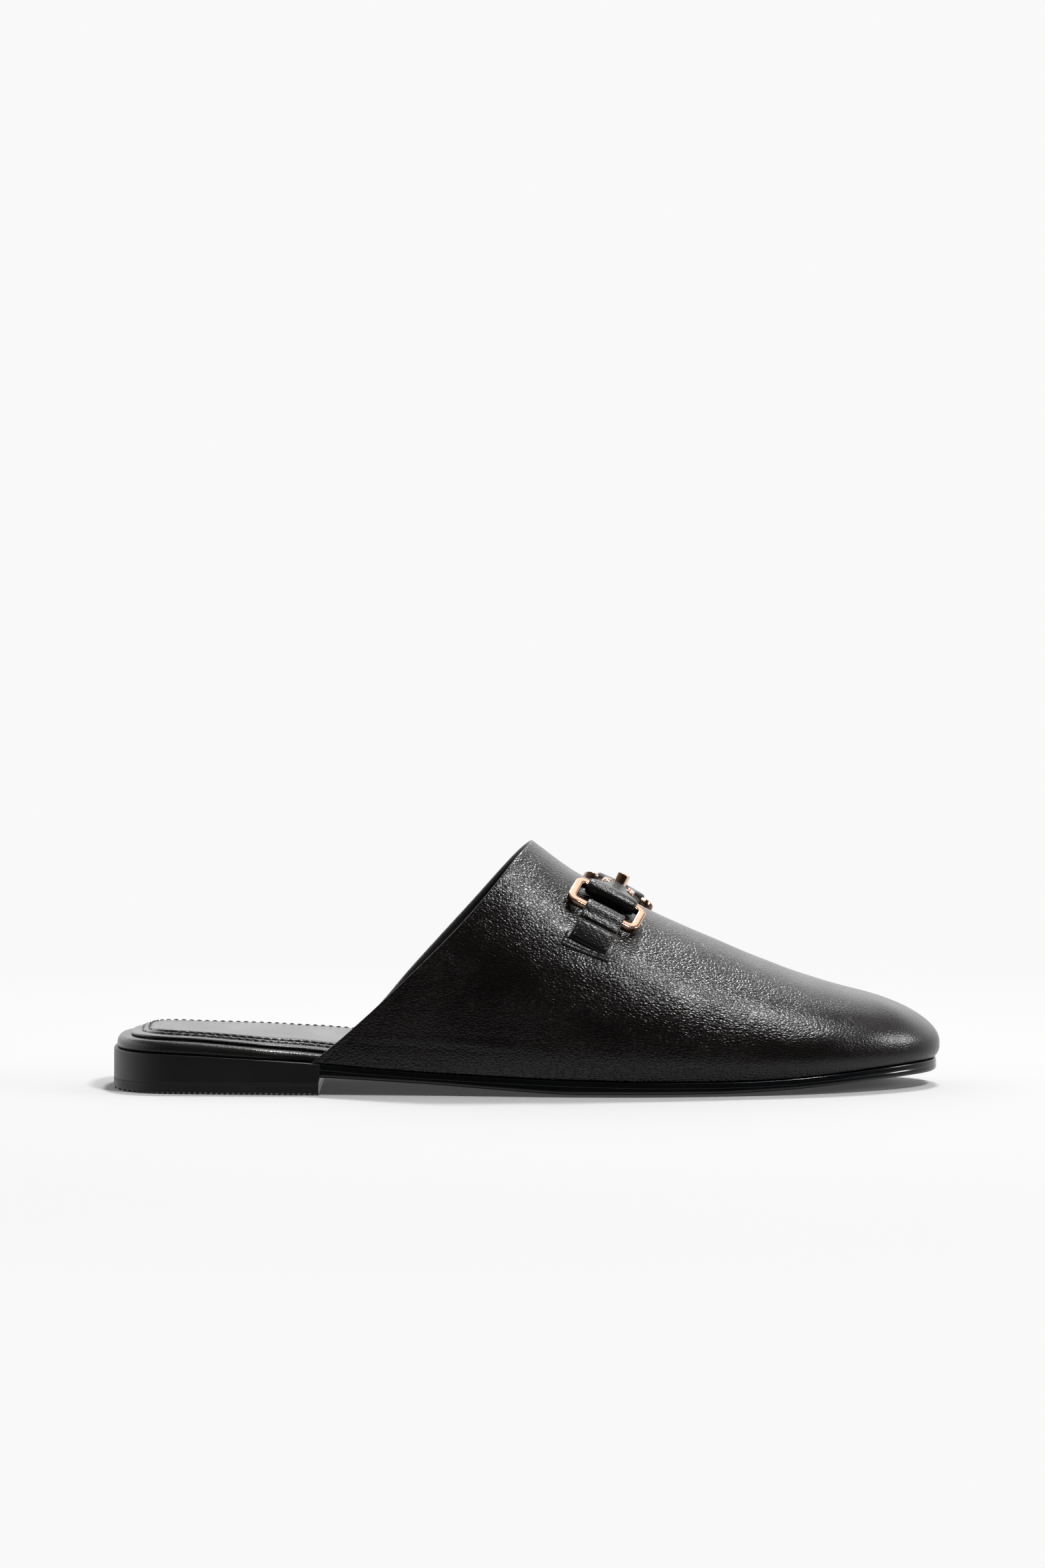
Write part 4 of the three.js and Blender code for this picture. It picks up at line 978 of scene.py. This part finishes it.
def band(name, side, outer, inner, half_width, rows, edge_round, crown, mats, shift=0.0, wrinkle=0.0, cut=0):
    """A leather band bent round a closed loop: outer and inner loops, (girth, height), and a half width
    at each of the loop's points."""
    a = SIDES[side]
    n2 = outward(outer)
    q = np.sin(np.linspace(-np.pi / 2, np.pi / 2, rows))
    layers = []
    for c in q:
        x = c * half_width
        t = np.clip((np.abs(x) - (half_width - edge_round)) / edge_round, 0, 1)
        drop = edge_round * (1 - np.sqrt(np.maximum(0, 1 - t * t)))
        puff = crown * (1 - (x / half_width) ** 2)
        if wrinkle:
            puff = puff + wrinkle * np.sin(x * 1.9 + 0.7 * np.arange(len(outer)) * 0.35) * np.sin(0.22 * np.arange(len(outer)))
        p = outer + n2 * (puff - drop * 0.85)[:, None]
        y, z = a.at(p[:, 0], p[:, 1])
        layers.append(np.stack([x + shift, y, z], 1))
    for c in (0.97, 0.5, 0.0, -0.5, -0.97):
        y, z = a.at(inner[:, 0], inner[:, 1])
        layers.append(np.stack([c * half_width + shift, y, z], 1))
    m = len(outer)
    pts = from_bit(np.concatenate(layers))
    faces = grid_faces(len(layers), m, wrap_rows=True, wrap_cols=True)
    mat = []
    for j in range(len(layers)):
        mat += [1 if j in (0, rows - 2, rows - 1, len(layers) - 1) else 0] * m
    # the cut edge shows as the last sliver of the outer face
    mat = np.array(mat)
    mat[:m * rows] = 0
    mat[:m * cut] = 1
    mat[(rows - 1 - cut) * m:rows * m] = 1
    return make(name, pts, faces, mats, mat)


def strap(side):
    """The padded roll: from the link, round the ring's upper bar and back."""
    proud = 0.25 if side > 0 else 0.1
    hb = ROLL_T / 2 + GAP + proud
    g0, g1 = LINK_REACH, RING_UP
    th = np.radians(np.linspace(-90, 90, 26))
    cx, cy = superellipse((RING_BAR + 2 * (GAP + 0.9)) / 2, ROLL_T / 2, 2.3, th)
    nose = np.stack([g1 + cx, hb + cy], 1)
    u = np.linspace(0, 1, 40)[1:-1]
    top_g = lerp(g1, g0, u)
    top_h = lerp(hb + ROLL_T / 2, LINK_LIFT + 1.35, smooth(u) ** 0.8) - 0.75 * np.sin(np.pi * u) ** 1.2
    th = np.radians(np.linspace(90, 270, 16))
    ex, ey = superellipse(1.45, 1.35, 2.0, th)
    eye = np.stack([g0 + ex, LINK_LIFT + ey], 1)
    bot_g = lerp(g0, g1, u)
    bot_h = lerp(LINK_LIFT - 1.35, hb - ROLL_T / 2, smooth(u * 1.2))
    bot_h = np.maximum(bot_h - 0.1 * np.sin(np.pi * u), 0.28)
    outer = even(np.vstack([nose, np.stack([top_g, top_h], 1), eye, np.stack([bot_g, bot_h], 1)]), 132)
    outer = soften(outer, 2)
    # the inner loop: round the bar, a closed slit, round the link
    mid = np.interp(outer[:, 0], [g0, g1], [LINK_LIFT, hb])
    up = outer[:, 1] > mid

    def reach(c, h, a, b):
        t = np.clip((outer[:, 0] - c) / a, -1, 1)
        return b * np.sqrt(1 - t * t)
    open_ = np.maximum(np.maximum(reach(g1, hb, RING_BAR / 2 + GAP + 0.05, RING_THICK / 2 + GAP), reach(g0, LINK_LIFT, 1.12, 1.12)), 0.05)
    gi = np.clip(outer[:, 0], g0 - 1.1, g1 + RING_BAR / 2 + GAP + 0.02)
    tt = np.clip((gi - g1) / (RING_BAR / 2 + GAP + 0.05), -1, 1)
    open_ = np.where(outer[:, 0] > g1, (RING_THICK / 2 + GAP) * np.sqrt(np.maximum(1 - tt ** 4, 0.002)), open_)
    inner = np.stack([gi, np.interp(gi, [g0, g1], [LINK_LIFT, hb]) + np.where(up, 1, -1) * open_], 1)
    t = np.clip((outer[:, 0] - 3.6) / (15.2 - 3.6), 0, 1)
    hw = 2.75 + 5.6 * (0.45 * smooth(t) + 0.55 * t ** 1.5)
    ob = band("strap_roll_outer" if side < 0 else "strap_roll_inner", side, outer, inner, hw, 25, 0.7, 0.42, (STRAP_SKIN, CUT), wrinkle=0.02)
    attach(ob, "root")
    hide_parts("strap_lateral" if side < 0 else "strap_medial")
    return ob


def tab_height(g, hb):
    """Top of the tab's two layers below the ring, from the roll down to its foot."""
    roll = hb + RING_THICK / 2 + GAP + 0.95
    t = np.clip((g - RING_LOW) / 3.4, 0, 1)
    h = lerp(roll, 3.95, 0.35 * t + 0.65 * smooth(t))
    h = np.where(g > RING_LOW + 3.4, lerp(3.95, 1.35, np.clip((g - RING_LOW - 3.4) / 8.2, 0, 1)), h)
    h = h - 0.45 * np.exp(-((g - 31.2) / 0.5) ** 2)                  # the stitch row across, under the ring
    h = h + 0.06 * np.sin(np.clip((g - 30.4) / 6.6, 0, 1) * np.pi)
    return h - 0.25 * smooth((g - 37.0) / 0.8)


def tab(side):
    proud = 0.25 if side > 0 else 0.1
    hb = RING_THICK / 2 + GAP + 0.95 + GAP + proud
    end = 37.7
    th = np.radians(np.linspace(90, 270, 26))
    cx, cy = superellipse((RING_BAR + 2 * (GAP + 0.95)) / 2, 2.3, 2.4, th)
    nose = np.stack([RING_LOW + cx, hb + cy], 1)
    g = np.linspace(end, RING_LOW, 60)[1:-1]
    top = np.stack([g, tab_height(g, hb)], 1)
    tip = np.array([[end, 0.55], [end + 0.10, 0.70], [end + 0.12, 0.95], [end + 0.04, 1.18]])
    gb = np.linspace(RING_LOW, end, 40)[1:-1]
    low = lerp(hb - 2.3, 0.5, smooth((gb - RING_LOW) / 3.0))
    bottom = np.stack([gb, low], 1)
    outer = even(np.vstack([tip, top, nose, bottom]), 190)
    outer = soften(outer, 1)
    mid_ = np.interp(outer[:, 0], [RING_LOW, RING_LOW + 4, end], [hb, 1.5, 0.85])
    up = outer[:, 1] > mid_
    a_, b_ = RING_BAR / 2 + GAP + 0.05, RING_THICK / 2 + GAP
    gi = np.clip(outer[:, 0], RING_LOW - a_ + 0.02, end - 0.5)
    tt = np.clip((gi - RING_LOW) / a_, -1, 1)
    open_ = np.maximum(b_ * np.sqrt(np.maximum(1 - tt ** 4, 0.0)), 0.03)
    inner = np.stack([gi, np.interp(gi, [RING_LOW, RING_LOW + 4, end], [hb, 1.5, 0.85]) + np.where(up, 1, -1) * open_], 1)
    hw = 6.45 + 0.12 * np.sin(outer[:, 0] * 0.7)
    ob = band("tab_outer" if side < 0 else "tab_inner", side, outer, inner, hw, 21, 0.42, 0.12, (STRAP_SKIN, CUT), shift=TAB_SHIFT, wrinkle=0.03, cut=2)
    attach(ob, "root")
    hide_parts("tab_lateral" if side < 0 else "tab_medial")

    # the layer under it, which is sewn to the vamp by two rows
    a = SIDES[side]
    x0, x1, g0, g1, thick = TAB_SHIFT - 7.8, TAB_SHIFT + 8.0, 35.2, 40.4, 0.62
    nx, ng = 41, 21
    u, w = np.linspace(-1, 1, nx), np.linspace(-1, 1, ng)
    uu, ww = np.meshgrid(np.sign(u) * np.abs(u) ** 0.8, np.sign(w) * np.abs(w) ** 0.75, indexing="ij")
    gx = lerp(x0, x1, (uu + 1) / 2)
    gg = lerp(g0, g1, (ww + 1) / 2)
    # distance in from the nearest edge, in plan
    r = 1.1
    ex, eg = np.minimum(gx - x0, x1 - gx), np.minimum(gg - g0, g1 - gg)
    edge_d = np.minimum(ex, eg)
    rise = thick * np.sqrt(np.clip(1 - (1 - np.clip(edge_d / 0.55, 0, 1)) ** 2, 0, 1))
    groove = 0.20 * np.exp(-((gg - 39.5) / 0.3) ** 2) + 0.20 * np.exp(-((gg - 38.35) / 0.3) ** 2)
    pucker = 0.07 * np.sin(gx * 2.4) * np.exp(-((gg - 39.0) / 1.2) ** 2)
    h = 0.05 + np.maximum(rise - groove * np.clip(edge_d / 0.5, 0, 1) + pucker * np.clip(edge_d / 0.5, 0, 1), 0.0)
    # the leather falls away to the sides of the bit's plane, so each point is set on the form itself
    top = settle(gx.ravel(), gg.ravel(), h.ravel(), side)
    under_ = settle(gx.ravel(), gg.ravel(), np.full(gg.size, -0.3), side)
    pts = np.concatenate([top, under_])
    n = nx * ng
    faces = grid_faces(nx, ng) + [f[::-1] for f in grid_faces(nx, ng, base=n)]
    ring = [i * ng for i in range(nx)] + [(nx - 1) * ng + j for j in range(1, ng)] + [i * ng + ng - 1 for i in range(nx - 2, -1, -1)] + [j for j in range(ng - 2, 0, -1)]
    for i in range(len(ring)):
        p, q = ring[i], ring[(i + 1) % len(ring)]
        faces.append((p, q, q + n, p + n))
    foot = make("tab_foot_outer" if side < 0 else "tab_foot_inner", pts, faces, (STRAP_SKIN,))
    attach(foot, "root")

    # thread: two rows through the foot, one across under the ring, one down each edge
    runs = []
    for gr in (39.5, 38.35):
        xs = np.linspace(x0 + 0.8, x1 - 0.8, 40)
        line = settle(xs, np.full(40, gr), np.full(40, thick - 0.12), side)
        up_ = settle(xs, np.full(40, gr), np.full(40, thick + 1.0), side) - line
        runs.append(stitch_run(line, up_, 1.55, 1.25, 0.21, sink=0.02, tilt=0.12))
    xs = np.linspace(-5.6, 5.6, 40) + TAB_SHIFT
    yy, zz = a.at(np.full(40, 31.2), np.full(40, float(tab_height(31.2, hb)) + 0.12))
    y2, z2 = a.at(np.full(40, 31.2), np.full(40, float(tab_height(31.2, hb)) + 1.0))
    line = from_bit(np.stack([xs, yy, zz], 1))
    runs.append(stitch_run(line, from_bit(np.stack([xs, y2, z2], 1)) - line, 1.6, 1.3, 0.20, sink=0.02, tilt=0.12))
    gs = np.linspace(RING_LOW + 0.2, 37.2, 60)
    loop_g = np.concatenate([nose[:14, 0][::-1], gs])
    loop_h = np.concatenate([nose[:14, 1][::-1], tab_height(gs, hb)])
    for c in (-5.35, 5.35):
        x = np.full(len(loop_g), c + TAB_SHIFT)
        y, z = a.at(loop_g, loop_h + 0.02)
        line = from_bit(np.stack([x, y, z], 1))
        t = np.gradient(line, axis=0)
        nrm = np.cross(t, from_bit(np.array([1.0, 0, 0])) - R0) * 1.0
        nrm /= np.linalg.norm(nrm, axis=1)[:, None]
        y2, z2 = a.at(loop_g, loop_h + 1.0)
        ref = from_bit(np.stack([x, y2, z2], 1)) - line
        flip = np.sign(np.sum(nrm * ref, 1))
        flip[flip == 0] = 1
        runs.append(stitch_run(line, nrm * flip[:, None], 1.7, 1.25, 0.23, sink=0.03, tilt=0.12))
    pts, faces = join(runs)
    th_ = make("tab_stitches_outer" if side < 0 else "tab_stitches_inner", pts, faces, (TAB_THREAD,))
    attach(th_, "root")


GRID_S, GRID_V = np.meshgrid(np.linspace(132, 190, 88), np.linspace(0.06, 0.94, 177), indexing="ij")
GRID_X = to_bit(last(GRID_S, GRID_V))


def settle(x, g, h, side):
    """Points over the vamp itself: x down the ridge, girth g measured in the bit's plane, height h off
    the leather at that very place."""
    x, g, h = (np.asarray(q, float).ravel() for q in np.broadcast_arrays(x, g, h))
    y, z = SIDES[side].at(g, np.zeros(len(g)))
    grid = GRID_X.reshape(-1, 3)
    s, v = np.empty(len(x)), np.empty(len(x))
    for i in range(0, len(x), 200):
        c = slice(i, i + 200)
        d = (4 * (grid[None, :, 0] - x[c, None]) ** 2 + (grid[None, :, 1] - y[c, None]) ** 2 + 0.2 * (grid[None, :, 2] - z[c, None]) ** 2)
        k = np.argmin(d, 1)
        s[c], v[c] = GRID_S.ravel()[k], GRID_V.ravel()[k]
    e = 1e-3
    for _ in range(3):
        p = to_bit(last(s, v))
        ps, pv = (to_bit(last(s + e, v)) - p) / e, (to_bit(last(s, v + e * 0.1)) - p) / (e * 0.1)
        det = ps[:, 0] * pv[:, 1] - pv[:, 0] * ps[:, 1]
        det = np.where(np.abs(det) < 1e-6, 1e-6, det)
        rx, ry = x - p[:, 0], y - p[:, 1]
        s = s + np.clip((rx * pv[:, 1] - pv[:, 0] * ry) / det, -2, 2)
        v = v + np.clip((ps[:, 0] * ry - rx * ps[:, 1]) / det, -0.02, 0.02)
    p = last(s, v)
    n = np.cross(last(s + e, v) - p, last(s, v + e * 0.1) - p)
    n /= np.linalg.norm(n, axis=1)[:, None]
    n = n * np.where(n @ np.array([0, 0, 1.0]) + 0.02 * n[:, 1] * (p[:, 1] - 2.0) < 0, -1, 1)[:, None]
    return p + n * (h + folds(s, v))[:, None]


def rounded_path(a, b, r, step=0.35, corner=9):
    """A rounded rectangle, half sizes a and b, corner radius r, as closed points."""
    out = []
    for sx, sy, a0 in ((1, 1, 0), (-1, 1, 90), (-1, -1, 180), (1, -1, 270)):
        for k in range(corner + 1):
            q = math.radians(a0 + 90 * k / corner)
            out.append((sx * (a - r) + r * math.cos(q), sy * (b - r) + r * math.sin(q)))
    p = np.array(out)
    full_ = []
    for i in range(len(p)):
        q0, q1 = p[i], p[(i + 1) % len(p)]
        n = max(1, int(np.hypot(*(q1 - q0)) / (step * 4)))
        for k in range(n):
            full_.append(lerp(q0, q1, k / n))
    return np.array(full_)


def bar_section(w, t, r=0.52, dome=0.05, steps=4):
    """Section of a flat bar with rounded corners and slightly domed faces."""
    out = []
    for sx, sy, a0 in ((1, 1, 0), (-1, 1, 90), (-1, -1, 180), (1, -1, 270)):
        for k in range(steps + 1):
            q = math.radians(a0 + 90 * k / steps)
            out.append((sx * (w / 2 - r) + r * math.cos(q), sy * (t / 2 - r) + r * math.sin(q)))
        # a point in the middle of the next face, lifted by the dome
        nx_, ny_ = {90: (0, 1), 180: (-1, 0), 270: (0, -1), 360: (1, 0)}[a0 + 90]
        out.append((nx_ * (w / 2 + dome), ny_ * (t / 2 + dome)))
    return np.array(out)


def ring(side):
    a = SIDES[side]
    proud = 0.25 if side > 0 else 0.1
    h = ROLL_T / 2 + GAP + proud
    (uy, ly), (uz, lz) = a.at(np.array([RING_UP, RING_LOW]), np.array([h, h]))
    up, low = np.array([0, uy, uz]), np.array([0, ly, lz])
    d = low - up
    span = np.linalg.norm(d)
    d /= span
    n = np.array([0, -d[2], d[1]]) * side
    c = (up + low) / 2
    r = RING_CORNER - RING_BAR / 2
    path = rounded_path(RING_L / 2 - RING_BAR / 2, span / 2, r, corner=10)
    pts = c + path[:, :1] * np.array([1.0, 0, 0]) + path[:, 1:] * d
    world = from_bit(pts)
    normal = from_bit(n) - R0
    p, f = tube(world, bar_section(RING_BAR, RING_THICK, r=0.38, dome=0.025), normal, closed=True)
    ob = make("ring_outer_side" if side < 0 else "ring_inner_side", p, f, (METAL, METAL_PAINTED_SHADE))
    # the upright faces, inside and outside the ring, take a darker plating than its flat face and its edges: painted
    # shade, standing in for the dark surroundings these faces reflect
    flat_ = normal / np.linalg.norm(normal)
    ob.data.polygons.foreach_set("material_index", np.array([int(abs(float(np.dot(np.array(q.normal), flat_))) < 0.30) for q in ob.data.polygons], np.int32))
    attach(ob, "root")
    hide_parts("ring_lateral" if side < 0 else "ring_medial")


def bevelled_box(cx, cy, z0, z1, lx, ly, bevel):
    """A block with bevelled top and upright edges."""
    def loop(ax, ay, r):
        return rounded_path(ax, ay, max(r, 0.02), corner=3, step=10)
    levels = [(z0, 0.0), (z1 - bevel, 0.0), (z1 - bevel * 0.3, bevel * 0.3), (z1, bevel)]
    rows = []
    for z, inn in levels:
        p = loop(lx / 2 - inn, ly / 2 - inn, bevel * 0.9 - inn * 0.3)
        rows.append(np.column_stack([p[:, 0] + cx, p[:, 1] + cy, np.full(len(p), z)]))
    m = len(rows[0])
    pts = np.concatenate(rows)
    faces = grid_faces(len(rows), m, wrap_cols=True) + [tuple(range(m)), tuple((len(rows) - 1) * m + i for i in range(m))[::-1]]
    return pts, faces


def link():
    ly, lz = (float(q) for q in SIDES[-1].at(np.array(LINK_REACH), np.array(LINK_LIFT)))
    my, mz = (float(q) for q in SIDES[1].at(np.array(LINK_REACH), np.array(LINK_LIFT)))
    mid = np.array([0, (ly + my) / 2, (lz + mz) / 2])
    span = math.hypot(my - ly, mz - lz) / 2
    tilt = math.atan2(mz - lz, my - ly)
    ct, st = math.cos(tilt), math.sin(tilt)
    turn = np.array([[1, 0, 0], [0, ct, -st], [0, st, ct]])
    b = LINK_BAR
    path = rounded_path(LINK_L / 2 - b / 2, span, 2.0, corner=9)
    frame_pts = np.column_stack([path, np.zeros(len(path))])
    parts = [tube(frame_pts, bar_section(b, b, r=0.42, dome=0.03), np.array([0, 0, 1.0]), closed=True)]
    # block on its middle and the bar under it
    q, f = bevelled_box(0, 0, -0.5, 6.9 - LINK_LIFT, 3.4, 3.5, 0.40)
    turned = math.radians(-14)
    parts.append((q @ np.array([[math.cos(turned), math.sin(turned), 0], [-math.sin(turned), math.cos(turned), 0], [0, 0, 1.0]]), f))
    parts.append(tube(np.array([[-LINK_L / 2 + 0.8, 0, 0], [-2, 0, 0], [0, 0, 0], [2, 0, 0], [LINK_L / 2 - 0.8, 0, 0]]), bar_section(1.6, 1.25, r=0.35, dome=0.02), np.array([0, 0, 1.0])))
    p, f = join(parts)
    p = from_bit(p @ turn.T + mid)
    ob = make("trim_link", p, f, (METAL,), sharp=50)
    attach(ob, "root")
    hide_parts("bit_link")


for side_ in (-1, 1):
    ring(side_)
    strap(side_)
    tab(side_)
link()


# ------------------------------------------------------------------ stage
def plain(name, colour, glow, rough=0.9):
    m, nt, b = nodes_of(name)
    k = Net(nt)
    soft = k.noise(k.coord, 3.0, 2.0).outputs["Fac"]
    c = tuple(max(0.0, v - 0.004) for v in colour)
    nt.links.new(k.mix(soft, c, colour), b.inputs["Base Color"])
    b.inputs["Roughness"].default_value = rough
    b.inputs["Specular IOR Level"].default_value = 0.0
    if glow:
        b.inputs["Emission Color"].default_value = (glow, glow, glow, 1)
        b.inputs["Emission Strength"].default_value = 1.0
    return m


PALE = 0.947


def disc(name, r0, r1, material, rings=24, around=96, z=0.0):
    pts, faces = [], []
    for j in range(rings + 1):
        r = lerp(r0, r1, j / rings)
        for i in range(around):
            a = 2 * math.pi * i / around
            pts.append((r * math.cos(a), r * math.sin(a), z))
    faces = grid_faces(rings + 1, around, wrap_cols=True)
    me = bpy.data.meshes.new(name)
    me.from_pydata(pts, [], faces)
    me.materials.append(material)
    ob = bpy.data.objects.new(name, me)
    bpy.context.scene.collection.objects.link(ob)
    return ob


def floor_material():
    """Lit white round the shoe, fading into an even pale glow further out."""
    m, nt, b = nodes_of("floor_white")
    k = Net(nt)
    sep = nt.nodes.new("ShaderNodeVectorMath")
    sep.operation = "LENGTH"
    nt.links.new(k.coord, sep.inputs[0])
    r = sep.outputs["Value"]
    t = k.range(r, 0.20, 0.52, 0.0, 1.0, soft=True)
    across_ = nt.nodes.new("ShaderNodeSeparateXYZ")
    nt.links.new(k.coord, across_.inputs[0])
    # the base colour is lighter towards -X, the heel's end, and darker towards +X, where the lamps stand, offsetting
    # their fall-off: painted light
    even_ = k.mix(k.range(across_.outputs["X"], -0.5, 0.5, 0.0, 1.0), (FLOOR_WHITE * 1.16,) * 3, (FLOOR_WHITE * 0.84,) * 3)
    nt.links.new(k.mix(t, even_, (0.0, 0.0, 0.0)), b.inputs["Base Color"])
    b.inputs["Roughness"].default_value = 1.0
    b.inputs["Specular IOR Level"].default_value = 0.0
    # a faint glow where the floor is lit lifts the shadows on it: painted light; further out the glow is the even pale
    # backdrop
    nt.links.new(k.mix(t, (FLOOR_GLOW, FLOOR_GLOW, FLOOR_GLOW), (PALE, PALE, PALE)), b.inputs["Emission Color"])
    b.inputs["Emission Strength"].default_value = 1.0
    return m


FLOOR_GLOW, FLOOR_WHITE = 0.045, 0.469
floor = disc("floor", 0.0, 0.70, floor_material(), rings=40)
glow = plain("surround_pale", (0.0, 0.0, 0.0), PALE)
far = disc("floor_far", 0.70, 40.0, glow, rings=6)


def dome(name, radius, material):
    pts, faces = [], []
    rings, around = 24, 64
    for j in range(rings + 1):
        e = math.radians(-20 + 110 * j / rings)
        for i in range(around):
            a = 2 * math.pi * i / around
            pts.append((radius * math.cos(e) * math.cos(a), radius * math.cos(e) * math.sin(a), radius * math.sin(e)))
    faces = grid_faces(rings + 1, around, wrap_cols=True)
    me = bpy.data.meshes.new(name)
    me.from_pydata(pts, [], faces)
    me.materials.append(material)
    ob = bpy.data.objects.new(name, me)
    bpy.context.scene.collection.objects.link(ob)
    return ob


back = dome("backdrop", 39.0, glow)
floor.visible_glossy = False
for ob in (far, back):
    ob.visible_diffuse = False
    ob.visible_glossy = False
    ob.visible_transmission = False
    ob.visible_volume_scatter = False
    ob.visible_shadow = False

world = bpy.data.worlds.new("studio")
bpy.context.scene.world = world
world.use_nodes = True
wt = world.node_tree
wt.nodes.clear()
wo = wt.nodes.new("ShaderNodeOutputWorld")
wb = wt.nodes.new("ShaderNodeBackground")
wc = wt.nodes.new("ShaderNodeTexCoord")
wx = wt.nodes.new("ShaderNodeSeparateXYZ")
wt.links.new(wc.outputs["Generated"], wx.inputs[0])


def by_direction(source, a, b, c, d):
    r = wt.nodes.new("ShaderNodeMapRange")
    r.interpolation_type = "SMOOTHSTEP"
    for key, value in (("From Min", a), ("From Max", b)):
        r.inputs[key].default_value = value
    for key, value in (("To Min", c), ("To Max", d)):
        if hasattr(value, "is_output"):
            wt.links.new(value, r.inputs[key])
        else:
            r.inputs[key].default_value = value
    wt.links.new(source, r.inputs["Value"])
    return r.outputs["Result"]


# dark towards the camera, bright low down behind the shoe, softer overhead and below the horizon
nadir = by_direction(wx.outputs["Z"], -0.95, -0.75, 0.05, 0.68)
in_front = by_direction(wx.outputs["Z"], -0.7, -0.10, nadir, 0.02)
lower = by_direction(wx.outputs["Z"], 0.10, 0.30, 1.05, 1.75)
overhead = by_direction(wx.outputs["Z"], 0.48, 0.76, lower, 0.38)
behind = by_direction(wx.outputs["Z"], -0.7, -0.1, nadir, overhead)
side_on = wt.nodes.new("ShaderNodeVectorMath")
side_on.operation = "DOT_PRODUCT"
wt.links.new(wc.outputs["Generated"], side_on.inputs[0])
side_on.inputs[1].default_value = (-0.25, 1.0, 0.0)
wt.links.new(by_direction(side_on.outputs["Value"], -0.80, 0.72, in_front, behind), wb.inputs["Strength"])
wb.inputs["Color"].default_value = (1.0, 1.0, 1.0, 1)
wt.links.new(wb.outputs[0], wo.inputs[0])


def lamp(name, azimuth, elevation, distance, width, height, power, colour=(1, 1, 1), aim=(0.03, 0.0, 0.03), spread_=None):
    """A soft box: azimuth 0 is the camera's side, 90 the toe's; power in watts."""
    a, e = math.radians(azimuth), math.radians(elevation)
    d = Vector((math.sin(a) * math.cos(e), -math.cos(a) * math.cos(e), math.sin(e)))
    data = bpy.data.lights.new(name, "AREA")
    data.shape, data.size, data.size_y, data.energy, data.color = "RECTANGLE", width, height, power, colour
    if spread_:
        data.spread = math.radians(spread_)
    ob = bpy.data.objects.new(name, data)
    ob.location = Vector(aim) + d * distance
    ob.rotation_mode = "QUATERNION"
    ob.rotation_quaternion = d.to_track_quat("Z", "Y")
    bpy.context.scene.collection.objects.link(ob)
    return ob


lamp("key", 50, 56, 2.0, 0.34, 0.34, 30)
lamp("side", 84, 17, 1.5, 0.34, 0.34, 7)
lamp("hard_top", 162, 64, 2.0, 0.30, 0.30, 34)
lamp("soft_top", 150, 62, 2.0, 0.9, 0.9, 4)

cam = bpy.data.cameras.new("camera")
cam.sensor_fit, cam.sensor_height, cam.sensor_width = "VERTICAL", 36.0, 36.0
cam.lens = 8029.1 / 2352 * 36.0
cam.clip_start, cam.clip_end = 0.05, 100
camera = bpy.data.objects.new("camera", cam)
camera.location = (-0.00172, -1.69396, 0.17207)
camera.rotation_euler = (math.radians(90 - 2.585), 0, 0)
bpy.context.scene.collection.objects.link(camera)
bpy.context.scene.camera = camera
bpy.context.scene.view_settings.view_transform = "Standard"
bpy.context.scene.view_settings.look = "None"
